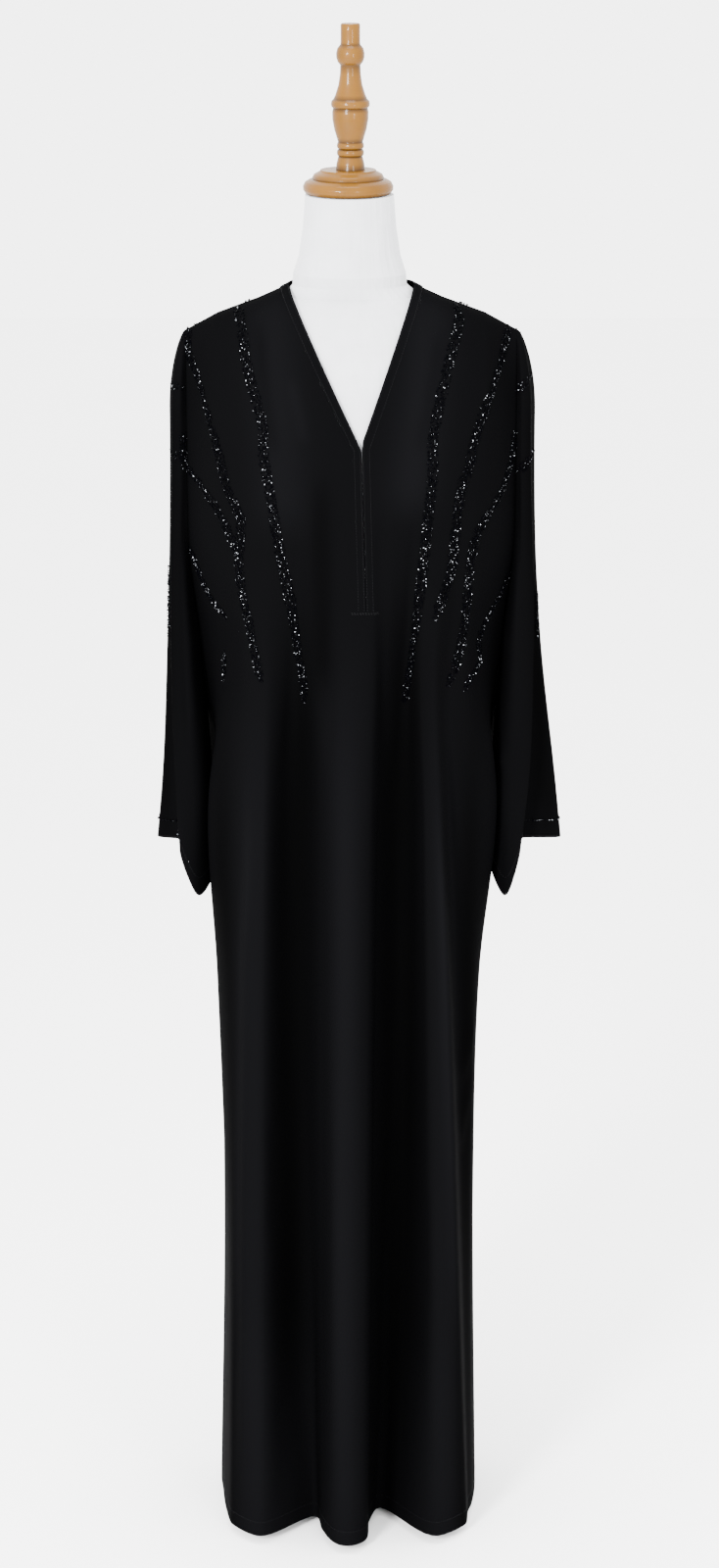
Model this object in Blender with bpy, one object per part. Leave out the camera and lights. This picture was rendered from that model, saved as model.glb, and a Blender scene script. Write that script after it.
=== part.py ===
# Abaya cloak on a limbless dress form.
#
# The garment is a long pull-on abaya with a V neck, a short slit below it, wide hanging
# sleeves cut in one flow with the shoulders, and narrow cuffs. It hangs on a jersey form
# with a turned wooden cap and finial, on a pole and a flat crossed foot.
#
# Frame: metres, +Z up, floor at z = 0, the wearer faces -Y. Left and right are the
# viewer's, seen from the front, so "left" pieces have negative x.
#
# Every cloth piece is cut from one draped surface. Each fold is a line that runs from the
# shoulder or neck to the hem, and the sections are smooth curves through the fold lines.

from collections import namedtuple
from math import cos, pi, radians, sin

import bpy
import numpy as np
from mathutils import Vector
from mathutils.bvhtree import BVHTree

MM = 0.001

# Cloth
CLOTH_THICKNESS = 1.5 * MM
SEAM_GAP = 0.5 * MM
HEM_HEIGHT = 0.012
CUFF_DEPTH = 0.024
BAND_WIDTH = 0.0095

# Neck and shoulders
COLLAR_X = 0.0805
SHOULDER_X = 0.186
SHOULDER_LINE = ((0.0805, 1.5010), (0.104, 1.4905), (0.150, 1.4735), (0.172, 1.4615), (0.186, 1.4540))
CHEST_DEPTH = 0.127
BACK_DEPTH = 0.112
CHEST_NECK_RISE = 0.010
BACK_NECK_RISE = 0.055
BACK_NECK_DIP = 0.005
YOKE_REACH = 0.25
YOKE_REACH_LOSS = 0.12
YOKE_ROUNDNESS = 0.45
YOKE_OVAL_X = 0.205
ARMHOLE_ROLL = 0.5
ARMHOLE_ROLL_X = 0.150
NECK_POINT = (0.0705, 1.5065)
NECK_SPACING = 1.6
V_BOTTOM_Z = 1.3490
V_BOTTOM_LEFT_X = 0.0066
V_BOTTOM_RIGHT_X = 0.0128
V_SEAM_BOTTOM_Z = 1.3390
SLIT_BOTTOM_Z = 1.158
SLIT_TOP_X = 0.0113
SLIT_BOTTOM_X = 0.0163
SLIT_TOP_WIDTH = 0.0026
SLIT_BOTTOM_WIDTH = 0.0012

# Heights of the levels at which the fold tables give each fold's place
YOKE_Z = 1.25
UNDERARM_Z = 1.10
UNDERARM_Y = 0.002
SEAM_BLEND = 0.10
LEVELS = (YOKE_Z, UNDERARM_Z, 0.92, 0.70, 0.40, HEM_HEIGHT)

# Rows of the draped surface, from the shoulders down
YOKE_ROWS = 8
YOKE_ROW_POWER = 1.35
LOWER_ROWS = (1.205, SLIT_BOTTOM_Z, UNDERARM_Z, 1.04, 0.98, 0.92, 0.85, 0.78, 0.70,
              0.60, 0.50, 0.40, 0.30, 0.20, 0.11, 0.05, HEM_HEIGHT)

# One row for each fold line: its name, the columns between it and the next fold, how soft
# its crest is (1 is round), and its place across and in depth at each level, in mm.
# The first depth of a fold is left to the yoke's own roundness.
Fold = namedtuple("Fold", "name columns softness across depth")

FRONT_FOLDS = (
    Fold("seam_left", 2, 1.0, (-186, -176, -150, -154, -152, -159), (0, 2, 12, 6, 0, 4)),
    Fold("edge_left", 3, 0.9, (-160, -138, -165, -158, -150, -153), (0, -62, -48, -32, -38, -50)),
    Fold("ridge_left", 2, 0.6, (-132, -118, -121, -130, -138, -146), (0, -98, -110, -106, -95, -84)),
    Fold("soft_left", 3, 1.0, (-104, -98, -101, -106, -109, -114), (0, -114, -126, -123, -118, -116)),
    Fold("trough_left", 3, 1.0, (-72, -62, -64, -61, -54, -42), (0, -107, -98, -90, -79, -68)),
    Fold("mid_left", 2, 0.8, (-42, -40, -37, -38, -37, -36.5), (0, -121, -116, -108, -100, -98)),
    Fold("mid", 1, 1.0, (-16, -12, -7, -4, -8, -9), (0, -127, -136, -141, -142, -141)),
    Fold("centre_left", 3, 1.0, (4, 5, 4, 3, 0, -1), (0, -129, -138, -142, -142, -141)),
    Fold("centre_right", 2, 1.0, (26, 26, 22, 19, 15, 12), (0, -129, -133, -135, -135, -133)),
    Fold("mid_right", 3, 0.7, (46, 40, 33, 29, 25, 20.5), (0, -117, -110, -101, -90, -80)),
    Fold("trough_right", 2, 1.0, (74, 62, 56, 53, 44, 30), (0, -101, -94, -82, -64, -46)),
    Fold("soft_right", 1, 1.0, (92, 80, 84, 89, 98, 104), (0, -116, -125, -123, -118, -116)),
    Fold("ridge_right", 2, 0.6, (106, 94, 100, 111, 122, 138), (0, -114, -119, -115, -104, -85)),
    Fold("valley_right", 2, 0.8, (122, 110, 113, 122, 131, 142), (0, -92, -84, -72, -62, -50)),
    Fold("second_right", 2, 0.9, (140, 128, 137, 141, 141, 146), (0, -82, -76, -56, -42, -34)),
    Fold("edge_right", 2, 0.9, (160, 143, 167, 150, 145, 149), (0, -58, -44, -26, -18, -14)),
    Fold("seam_right", 0, 1.0, (186, 174, 152, 146, 145, 151), (0, 2, 12, 6, 2, 6)),
)

BACK_FOLDS = (
    Fold("seam_right", 2, 1.0, (186, 174, 152, 146, 145, 151), (0, 2, 12, 6, 2, 6)),
    Fold("back_edge_right", 3, 0.9, (160, 173, 165, 147, 146, 151), (0, 50, 52, 54, 56, 60)),
    Fold("back_ridge_right", 2, 0.8, (130, 124, 126, 129, 132, 137), (0, 80, 94, 101, 104, 107)),
    Fold("back_soft_right", 4, 1.0, (104, 98, 98, 98, 99, 102), (0, 98, 116, 125, 131, 135)),
    Fold("back_trough_right", 2, 1.0, (72, 63, 62, 63, 65, 66), (0, 90, 88, 85, 81, 78)),
    Fold("back_mid_right", 2, 0.9, (40, 36, 37, 38, 38, 38), (0, 104, 110, 112, 112, 112)),
    Fold("back_mid", 2, 1.0, (0, 1, 3, 4, 4, 2), (0, 110, 130, 139, 144, 148)),
    Fold("back_mid_left", 2, 0.9, (-40, -35, -32, -32, -33, -35), (0, 104, 112, 115, 117, 119)),
    Fold("back_trough_left", 3, 1.0, (-72, -63, -60, -60, -61, -64), (0, 91, 90, 87, 83, 80)),
    Fold("back_soft_left", 2, 1.0, (-104, -100, -104, -104, -104, -106), (0, 97, 114, 123, 128, 134)),
    Fold("back_ridge_left", 3, 0.8, (-132, -125, -130, -135, -138, -146), (0, 80, 92, 99, 103, 106)),
    Fold("back_edge_left", 2, 0.9, (-160, -174, -168, -157, -154, -162), (0, 50, 52, 55, 57, 58)),
    Fold("seam_left", 0, 1.0, (-186, -176, -150, -154, -152, -159), (0, 2, 12, 6, 0, 4)),
)

# Sleeves: places at each sleeve level in mm, and the height of the cuff's lower edge. The
# levels are the upper arm, the underarm, the forearm and the cuff's own lower edge.
ARM_TOP_Z = 1.36
SLEEVE_LEVELS = (ARM_TOP_Z, UNDERARM_Z, 0.92)
SLEEVE_ROWS = (1.04, 0.98, 0.92)
SLEEVE_END_ROWS = 2
SLEEVE_CAP_DROP = 0.09
SLEEVE_CAP_POWER = 0.6
SleeveFold = namedtuple("SleeveFold", "name columns softness across depth end_z")

SLEEVE_FOLDS_LEFT = (
    SleeveFold("back_inner", 2, 1.0, (-191, -182, -171, -170), (26, 28, 30, 29), 0.815),
    SleeveFold("back_lobe", 2, 1.0, (-197, -193, -192, -190), (30, 38, 42, 42), 0.835),
    SleeveFold("back_outer", 2, 1.0, (-204, -207, -213, -217), (17, 23, 26, 27), 0.859),
    SleeveFold("outer", 2, 0.9, (-206, -212, -221, -227), (0, 0, 1, 1), 0.857),
    SleeveFold("pleat", 1, 0.7, (-204.5, -205, -199.5, -196.5), (-14, -15, -15, -15), 0.857),
    SleeveFold("front_edge", 2, 0.6, (-201, -206.5, -203, -199.7), (-28, -34, -37, -37), 0.851),
    SleeveFold("front_lobe", 2, 1.0, (-193, -190, -181, -177.5), (-32, -37, -38, -39), 0.797),
)
SLEEVE_FOLDS_RIGHT = (
    SleeveFold("front_lobe", 2, 1.0, (192, 188, 182, 178), (-32, -37, -38, -39), 0.797),
    SleeveFold("front_edge", 1, 0.6, (201, 208, 203.5, 196), (-28, -34, -37, -37), 0.854),
    SleeveFold("pleat", 2, 0.7, (204, 206, 199, 192), (-14, -15, -15, -15), 0.858),
    SleeveFold("outer", 2, 0.9, (208, 217, 238, 244.5), (0, 0, 1, 1), 0.857),
    SleeveFold("back_outer", 2, 1.0, (205, 209, 224, 230), (17, 23, 26, 27), 0.859),
    SleeveFold("back_lobe", 2, 1.0, (197, 193, 196, 196), (30, 38, 42, 42), 0.838),
    SleeveFold("back_inner", 2, 1.0, (190, 181, 171, 170), (26, 28, 30, 29), 0.815),
)
# The sleeve's underarm line below the armhole: forearm and cuff, and its lower end
UNDERARM_LINE_LEFT = ((-162, -163), (0, -2), 0.810)
UNDERARM_LINE_RIGHT = ((162, 162), (0, -2), 0.822)
SLEEVE_SEAM_COLUMNS = 2

# Dress form: height, half width, depth in front, depth behind
FORM_AXIS_X = -0.002
FORM_SIDES = 40
FORM_TORSO = (
    (0.820, 0.130, 0.080, 0.080),
    (0.826, 0.136, 0.085, 0.085),
    (0.920, 0.138, 0.087, 0.088),
    (1.020, 0.132, 0.085, 0.083),
    (1.120, 0.118, 0.082, 0.074),
    (1.200, 0.130, 0.097, 0.082),
    (1.290, 0.152, 0.110, 0.092),
)
FORM_NECK = (
    (1.5050, 0.0640, 0.0440, 0.0560),
    (1.5180, 0.0632, 0.0500, 0.0550),
    (1.5377, 0.0570, 0.0500, 0.0535),
    (1.5686, 0.0522, 0.0490, 0.0510),
    (1.6050, 0.0496, 0.0490, 0.0490),
)
# Height and half width where the form carries the yoke, and how far it stays inside the cloth
FORM_YOKE = ((1.350, 0.160), (1.400, 0.164), (1.430, 0.166), (1.445, 0.165), (1.456, 0.160), (1.466, 0.144),
             (1.475, 0.122), (1.484, 0.098), (1.493, 0.077))
FORM_INSET = 4.5 * MM
FORM_LIFT = 2.5 * MM
FORM_CLEARANCE = 1.0 * MM
FORM_SQUARENESS = 6
FORM_DRAW_IN = 0.996

# Turned wood, radius and height of each turning in mm
CAP_AXIS_X = -0.0035
FINIAL_AXIS_X = -0.0010
TURNED_SIDES = 24
CAP_PROFILE = (
    (43.0, 1605.4), (47.5, 1606.6), (50.2, 1610.5), (50.4, 1614.5), (48.2, 1618.9), (43.5, 1621.6),
    (39.8, 1622.6), (39.9, 1624.2), (38.2, 1627.4), (34.2, 1629.6), (31.6, 1630.9), (31.0, 1632.4),
)
FINIAL_PROFILE = (
    (16.2, 1632.7), (15.6, 1639.0), (14.0, 1645.4), (13.4, 1647.2), (14.9, 1649.2), (15.1, 1651.3),
    (14.9, 1653.4), (13.4, 1655.2), (14.9, 1657.2), (15.1, 1659.2), (14.7, 1661.4), (13.8, 1663.0),
    (15.4, 1668.5), (18.0, 1677.0), (20.0, 1688.0), (20.2, 1696.0), (19.3, 1700.3), (21.2, 1702.2),
    (21.6, 1705.0), (21.0, 1708.0), (18.8, 1710.2), (16.6, 1715.0), (13.2, 1726.0), (11.6, 1737.0),
    (11.2, 1747.2), (14.0, 1750.6), (15.6, 1755.4), (15.7, 1760.4), (14.4, 1765.6), (11.2, 1769.4),
    (10.8, 1772.0), (10.8, 1791.0), (9.8, 1792.4),
)

# Stand
POLE_RADIUS = 0.0125
POLE_SIDES = 20
FOOT_THICKNESS = 0.008
FOOT_ARM_WIDTH = 0.032
FOOT_REACH_SIDE = 0.128
FOOT_REACH_FRONT = 0.092
FOOT_REACH_BACK = 0.110
FOOT_BEVEL = 0.0015
PART_GAP = 0.3 * MM

MATERIALS = {
    "black_crepe": ((0.006, 0.006, 0.007), 0.62, 0.0),
    "white_jersey": ((0.80, 0.81, 0.83), 0.85, 0.0),
    "varnished_wood": ((0.58, 0.33, 0.13), 0.28, 0.0),
    "painted_steel": ((0.03, 0.03, 0.03), 0.45, 0.6),
}


def smooth_step(value):
    t = min(max(value, 0.0), 1.0)
    return t * t * (3 - 2 * t)


def shoulder_height(x, neck_rise):
    """Height of the shoulder line, or of the neck's rise inside it, at a distance from the axis."""
    across = abs(x)
    widths, heights = zip(*SHOULDER_LINE)
    if across >= COLLAR_X:
        return float(np.interp(across, widths, heights))
    return heights[0] + neck_rise * (1 - (across / COLLAR_X) ** 2)


def yoke_depth(x, z, depth, neck_rise):
    """How far the cloth stands from the shoulder plane over the form's chest or back."""
    across = min(abs(x), SHOULDER_X)
    share = across / SHOULDER_X
    below = max(shoulder_height(x, neck_rise) - z, 0.0)
    reach = YOKE_REACH - YOKE_REACH_LOSS * share * share
    rise = sin(0.5 * pi * min(below / reach, 1.0)) ** YOKE_ROUNDNESS
    round_off = (1 - (across / YOKE_OVAL_X) ** 2) ** 0.5
    roll_in = 1 - ARMHOLE_ROLL * smooth_step((across - ARMHOLE_ROLL_X) / (SHOULDER_X - ARMHOLE_ROLL_X))
    return depth * rise * round_off * roll_in


def chest_y(x, z):
    return -yoke_depth(x, z, CHEST_DEPTH, CHEST_NECK_RISE)


def back_y(x, z):
    return yoke_depth(x, z, BACK_DEPTH, BACK_NECK_RISE)


def slopes(places, values):
    """Smooth slopes through uneven places, level at the first one."""
    steps = np.diff(places)
    rates = np.diff(values) / steps
    result = np.zeros(len(values))
    result[1:-1] = (rates[:-1] * steps[1:] + rates[1:] * steps[:-1]) / (steps[:-1] + steps[1:])
    result[-1] = rates[-1]
    return result


def along(places, values, where):
    """Value at a place on the smooth curve through the given places and values."""
    places = np.asarray(places, float)
    values = np.asarray(values, float)
    if places[0] > places[-1]:
        places = places[::-1]
        values = values[::-1]
        slope = -slopes(-places[::-1], values[::-1])[::-1]
    else:
        slope = slopes(places, values)
    where = min(max(where, places[0]), places[-1])
    k = min(int(np.searchsorted(places, where, side="right")) - 1, len(places) - 2)
    width = places[k + 1] - places[k]
    t = (where - places[k]) / width
    h00 = 2 * t ** 3 - 3 * t ** 2 + 1
    h10 = t ** 3 - 2 * t ** 2 + t
    h01 = -2 * t ** 3 + 3 * t ** 2
    h11 = t ** 3 - t ** 2
    return h00 * values[k] + h10 * width * slope[k] + h01 * values[k + 1] + h11 * width * slope[k + 1]


def through(points, softness, columns, before, after):
    """Points on the smooth line through fold points, with a number of columns between each two."""
    ring = [before] + list(points) + [after]
    ring = [np.asarray(p, float) for p in ring]
    tangents = []
    for k in range(1, len(ring) - 1):
        back = ring[k] - ring[k - 1]
        ahead = ring[k + 1] - ring[k]
        size_back = max(np.linalg.norm(back), 1e-6)
        size_ahead = max(np.linalg.norm(ahead), 1e-6)
        mean = (back / size_back * size_ahead + ahead / size_ahead * size_back) / (size_back + size_ahead)
        tangents.append(mean * softness[k - 1])
    result = []
    for k in range(len(points) - 1):
        start = ring[k + 1]
        end = ring[k + 2]
        size = np.linalg.norm(end - start)
        for i in range(columns[k]):
            t = i / columns[k]
            h00 = 2 * t ** 3 - 3 * t ** 2 + 1
            h10 = t ** 3 - 2 * t ** 2 + t
            h01 = -2 * t ** 3 + 3 * t ** 2
            h11 = t ** 3 - t ** 2
            result.append(h00 * start + h01 * end + (h10 * tangents[k] + h11 * tangents[k + 1]) * size)
    result.append(ring[-2])
    return result


def fold_points(folds, z, yoke_y):
    """Fold line points at a height at or below the yoke."""
    points = []
    for fold in folds:
        across = [x * MM for x in fold.across]
        depth = [yoke_y(across[0], YOKE_Z)] + [y * MM for y in fold.depth[1:]]
        points.append((along(LEVELS, across, z), along(LEVELS, depth, z), z))
    return points


def section(folds, z, yoke_y, before_seam, after_seam):
    """One row of a panel. The neighbours are the next panel's folds, met below the underarm."""
    points = fold_points(folds, z, yoke_y)
    ends = []
    share = smooth_step((UNDERARM_Z - z) / SEAM_BLEND)
    seams = ((points[0], points[1], before_seam), (points[-1], points[-2], after_seam))
    for seam, inner, neighbour in seams:
        mirrored = 2 * np.array(seam) - np.array(inner)
        met = np.array((along(LEVELS, [x * MM for x in neighbour.across], z),
                        along(LEVELS, [y * MM for y in neighbour.depth], z), z))
        ends.append(mirrored * (1 - share) + met * share)
    softness = [fold.softness for fold in folds]
    columns = [fold.columns for fold in folds]
    return through(points, softness, columns, ends[0], ends[1])


def neck_share(place, count):
    """How far down the neck a point lies, closer together towards the collar."""
    return (place / count) ** NECK_SPACING


def neckline_point(share, side):
    """Point on the front panel's neck seam, from the collar (0) to the top of the slit (1)."""
    slit_x = SLIT_TOP_X + side * (BAND_WIDTH + SLIT_TOP_WIDTH / 2)
    x = side * COLLAR_X * (1 - share) + slit_x * share
    z = SHOULDER_LINE[0][1] * (1 - share) + V_SEAM_BOTTOM_Z * share
    return np.array((x, chest_y(x, z), z))


def shoulder_point(share, side):
    """Point on the shoulder seam, from the sleeve (0) to the collar (1)."""
    x = SHOULDER_X + (COLLAR_X - SHOULDER_X) * share
    return np.array((side * x, 0.0, shoulder_height(x, 0.0)))


def shoulder_tops(columns):
    """Top edge of a panel's right shoulder, from the sleeve to the collar."""
    return [shoulder_point(j / columns, 1) for j in range(columns + 1)]


def columns_between(folds, first, last):
    names = [fold.name for fold in folds]
    start = names.index(first)
    end = names.index(last)
    return sum(fold.columns for fold in folds[min(start, end):max(start, end)])


def mirrored(points):
    return [np.array((-p[0], p[1], p[2])) for p in points]


def front_tops():
    """The front panel's top edge, left seam to right seam; the slit lies inside it."""
    left_shoulder = columns_between(FRONT_FOLDS, "seam_left", "trough_left")
    left_neck = columns_between(FRONT_FOLDS, "trough_left", "centre_left")
    right_shoulder = columns_between(FRONT_FOLDS, "trough_right", "seam_right")
    right_neck = columns_between(FRONT_FOLDS, "centre_right", "trough_right")
    left = mirrored(shoulder_tops(left_shoulder))
    left += [neckline_point(neck_share(j, left_neck), -1) for j in range(1, left_neck + 1)]
    right = shoulder_tops(right_shoulder)
    right += [neckline_point(neck_share(j, right_neck), 1) for j in range(1, right_neck + 1)]
    return left, right[::-1]


def back_tops():
    """The back panel's top edge, right seam to left seam."""
    right_shoulder = columns_between(BACK_FOLDS, "seam_right", "back_trough_right")
    left_shoulder = columns_between(BACK_FOLDS, "back_trough_left", "seam_left")
    neck = columns_between(BACK_FOLDS, "back_trough_right", "back_trough_left")
    tops = shoulder_tops(right_shoulder)
    for j in range(1, neck):
        x = COLLAR_X * cos(pi * j / neck)
        z = SHOULDER_LINE[0][1] - BACK_NECK_DIP * (1 - (x / COLLAR_X) ** 2)
        tops.append(np.array((x, back_y(x, z), z)))
    return tops + mirrored(shoulder_tops(left_shoulder))[::-1]


def yoke_rows(tops, base, yoke_y):
    """Rows from a top edge down to the yoke level, on the yoke's rounded form."""
    rows = []
    for r in range(YOKE_ROWS):
        share = (r / YOKE_ROWS) ** YOKE_ROW_POWER
        row = []
        for top, low in zip(tops, base):
            if r == 0:
                row.append(np.array(top))
                continue
            x = top[0] * (1 - share) + low[0] * share
            z = top[2] * (1 - share) + low[2] * share
            extra = (low[1] - yoke_y(low[0], low[2])) * share * share
            row.append(np.array((x, yoke_y(x, z) + extra, z)))
        rows.append(row)
    return rows


def slit_edge_x(z, side):
    share = (V_BOTTOM_Z - z) / (V_BOTTOM_Z - SLIT_BOTTOM_Z)
    middle = SLIT_TOP_X * (1 - share) + SLIT_BOTTOM_X * share
    width = SLIT_TOP_WIDTH * (1 - share) + SLIT_BOTTOM_WIDTH * share
    return middle + side * width / 2


def front_rows():
    """All rows of the front: its left part, its right part, and the strip between them."""
    back_left = BACK_FOLDS[-2]
    back_right = BACK_FOLDS[1]
    heights = (YOKE_Z,) + LOWER_ROWS
    full = [section(FRONT_FOLDS, z, chest_y, back_left, back_right) for z in heights]
    left_count = columns_between(FRONT_FOLDS, "seam_left", "centre_left") + 1
    right_first = columns_between(FRONT_FOLDS, "seam_left", "centre_right")
    left_tops, right_tops = front_tops()
    left = yoke_rows(left_tops, full[0][:left_count], chest_y) + [row[:left_count] for row in full]
    right = yoke_rows(right_tops, full[0][right_first:], chest_y) + [row[right_first:] for row in full]
    slit_row = YOKE_ROWS + 1 + LOWER_ROWS.index(SLIT_BOTTOM_Z)
    for r in range(1, slit_row + 1):
        for rows, column, side in ((left, -1, -1), (right, 0, 1)):
            z = rows[r][column][2]
            x = slit_edge_x(z, side) + side * BAND_WIDTH
            y = rows[r][column][1]
            rows[r][column] = np.array((x, y, z))
    strip = [row[left_count - 1:right_first + 1] for row in full]
    top = strip[slit_row - YOKE_ROWS]
    top[0] = left[slit_row][-1]
    top[-1] = right[slit_row][0]
    for column, side in ((1, -1), (2, 1)):
        top[column] = np.array((slit_edge_x(SLIT_BOTTOM_Z, side), top[column][1], SLIT_BOTTOM_Z))
    return left, right, strip[slit_row - YOKE_ROWS:], slit_row


def back_rows():
    front_right = FRONT_FOLDS[-2]
    front_left = FRONT_FOLDS[1]
    heights = (YOKE_Z,) + LOWER_ROWS
    full = [section(BACK_FOLDS, z, back_y, front_right, front_left) for z in heights]
    return yoke_rows(back_tops(), full[0], back_y) + full


def sleeve_rows(folds, underarm_line, side, armhole_first, armhole_last):
    """Rows of a sleeve, from the shoulder point down to the cuff seam, and the cuff's edge.

    The armhole lists run from the shoulder down to the underarm. Above the underarm a row is
    an arc between the two armhole edges, and below it a closed ring."""
    tip = np.array((side * SHOULDER_X, 0.0))
    softness = [1.0] + [fold.softness for fold in folds] + [1.0]
    columns = [SLEEVE_SEAM_COLUMNS] + [fold.columns for fold in folds]

    def fold_place(fold, z):
        levels = SLEEVE_LEVELS + (fold.end_z,)
        x = along(levels, [v * MM for v in fold.across], min(z, ARM_TOP_Z))
        y = along(levels, [v * MM for v in fold.depth], min(z, ARM_TOP_Z))
        if z > ARM_TOP_Z:
            drop = SHOULDER_LINE[-1][1] - z
            grow = sin(0.5 * pi * min(drop / SLEEVE_CAP_DROP, 1.0)) ** SLEEVE_CAP_POWER
            x = tip[0] + (x - tip[0]) * grow
            y = tip[1] + (y - tip[1]) * grow
        return x, y

    rows = [[armhole_first[0]]]
    for first, last in zip(armhole_first[1:-1], armhole_last[1:-1]):
        z = first[2]
        points = [first] + [np.array(fold_place(fold, z) + (z,)) for fold in folds] + [last]
        before = 2 * points[0] - points[1]
        after = 2 * points[-1] - points[-2]
        rows.append(through(points, softness, columns, before, after))

    underarm = armhole_first[-1]
    seam_levels = (UNDERARM_Z, SLEEVE_LEVELS[-1], underarm_line[2])
    seam_across = [underarm[0]] + [v * MM for v in underarm_line[0]]
    seam_depth = [underarm[1]] + [v * MM for v in underarm_line[1]]

    def ring(height_of):
        seam_z = height_of(underarm_line[2])
        seam_x = along(seam_levels, seam_across, seam_z)
        seam_y = along(seam_levels, seam_depth, seam_z)
        seam = np.array((seam_x, seam_y, seam_z))
        points = [seam]
        for fold in folds:
            z = height_of(fold.end_z)
            points.append(np.array(fold_place(fold, z) + (z,)))
        points.append(seam)
        return through(points, softness, columns, points[-2], points[1])

    for z in (UNDERARM_Z,) + SLEEVE_ROWS:
        rows.append(ring(lambda end_z: z))
    last_level = SLEEVE_ROWS[-1]
    for r in range(1, SLEEVE_END_ROWS + 1):
        share = r / SLEEVE_END_ROWS
        rows.append(ring(lambda end_z: last_level + (end_z + CUFF_DEPTH - last_level) * share))
    edge = ring(lambda end_z: end_z)
    return rows, [rows[-1], edge]


def band_free_edge(seam, side):
    """Free edge of a front neckband beside its seam points, given from the slit's end up."""
    free = []
    slit_points = [p for p in seam if p[2] < V_SEAM_BOTTOM_Z - 1e-6]
    for p in slit_points:
        x = slit_edge_x(p[2], side)
        free.append(np.array((x, p[1], p[2])))
    rest = seam[len(slit_points):]
    v_x = V_BOTTOM_LEFT_X if side < 0 else V_BOTTOM_RIGHT_X
    for k, p in enumerate(rest):
        share = neck_share(len(rest) - 1 - k, len(rest) - 1)
        x = side * NECK_POINT[0] * (1 - share) + v_x * share
        z = NECK_POINT[1] * (1 - share) + V_BOTTOM_Z * share
        y = chest_y(x, z) if k < len(rest) - 1 else 0.0
        free.append(np.array((x, y, z)))
    return free


def back_band_edge(seam):
    """Free edge of the back neckband, drawn in and up from its seam."""
    free = []
    for p in seam:
        x = p[0] * NECK_POINT[0] / COLLAR_X
        y = p[1] * NECK_POINT[0] / COLLAR_X
        free.append(np.array((x, y, p[2] + NECK_POINT[1] - SHOULDER_LINE[0][1])))
    return free


def grid_faces(rows):
    """Quads of a grid of points, rows going down and columns going round to the right."""
    faces = []
    for upper, lower in zip(rows[:-1], rows[1:]):
        if len(upper) == 1:
            faces += [(upper[0], lower[c], lower[c + 1]) for c in range(len(lower) - 1)]
            continue
        for c in range(len(upper) - 1):
            faces.append((upper[c], lower[c], lower[c + 1], upper[c + 1]))
    return faces


def garment_pieces():
    """Every cloth piece as faces on one draped surface; seams share their points."""
    left, right, strip, slit_row = front_rows()
    back = back_rows()
    underarm_row = YOKE_ROWS + 1 + LOWER_ROWS.index(UNDERARM_Z)
    for r in range(underarm_row, len(back)):
        back[r][-1] = left[r][0]
        back[r][0] = right[r][-1]
    pieces = {"front": grid_faces(left) + grid_faces(right) + grid_faces(strip), "back": grid_faces(back)}

    armhole_rows = range(underarm_row + 1)
    armholes = {
        "left": ([back[r][-1] for r in armhole_rows], [left[r][0] for r in armhole_rows]),
        "right": ([right[r][-1] for r in armhole_rows], [back[r][0] for r in armhole_rows]),
    }
    sleeves = (
        ("left", SLEEVE_FOLDS_LEFT, UNDERARM_LINE_LEFT, -1),
        ("right", SLEEVE_FOLDS_RIGHT, UNDERARM_LINE_RIGHT, 1),
    )
    for name, folds, line, side in sleeves:
        rows, cuff = sleeve_rows(folds, line, side, *armholes[name])
        pieces["sleeve_" + name] = grid_faces(rows)
        pieces["cuff_" + name] = grid_faces(cuff)

    left_neck = columns_between(FRONT_FOLDS, "trough_left", "centre_left")
    right_neck = columns_between(FRONT_FOLDS, "centre_right", "trough_right")
    seam = [left[r][-1] for r in range(slit_row, 0, -1)] + left[0][::-1][:left_neck + 1]
    free = band_free_edge(seam, -1)
    pieces["neckband_left"] = grid_faces([seam, free])
    seam = [right[r][0] for r in range(slit_row, 0, -1)] + right[0][:right_neck + 1]
    free = band_free_edge(seam, 1)
    pieces["neckband_right"] = grid_faces([free, seam])
    neck_first = columns_between(BACK_FOLDS, "seam_right", "back_trough_right")
    neck_last = columns_between(BACK_FOLDS, "seam_right", "back_trough_left")
    seam = back[0][neck_first:neck_last + 1]
    pieces["neckband_back"] = grid_faces([back_band_edge(seam), seam])
    return pieces


def shared_points(pieces):
    """Number the points of all pieces, with one number for points that lie together."""
    numbers = {}
    points = []
    numbered = {}
    for name, faces in pieces.items():
        numbered[name] = []
        for face in faces:
            corners = []
            for p in face:
                key = tuple(round(v * 1e6) for v in p)
                if key not in numbers:
                    numbers[key] = len(points)
                    points.append(Vector(p))
                if not corners or corners[-1] != numbers[key]:
                    corners.append(numbers[key])
            numbered[name].append(corners)
    return points, numbered


def surface_normals(points, numbered):
    """Outward directions at the points; each face counts by its angle at the point."""
    normals = [Vector((0, 0, 0)) for _ in points]
    for faces in numbered.values():
        for corners in faces:
            normal = face_normal(points, corners).normalized()
            for k, corner in enumerate(corners):
                back = points[corners[k - 1]] - points[corner]
                ahead = points[corners[(k + 1) % len(corners)]] - points[corner]
                normals[corner] += normal * back.angle(ahead)
    return [normal.normalized() for normal in normals]


def face_normal(points, corners):
    """Normal of a face, as long as its area."""
    first = points[corners[0]]
    total = Vector((0, 0, 0))
    for a, b in zip(corners[1:-1], corners[2:]):
        total += (points[a] - first).cross(points[b] - first)
    return total


def boundary_edges(faces):
    """Edges that only one face of a piece uses, in that face's direction."""
    used = {}
    for corners in faces:
        for a, b in zip(corners, corners[1:] + corners[:1]):
            used[(a, b)] = True
    return [edge for edge in used if (edge[1], edge[0]) not in used]


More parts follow.
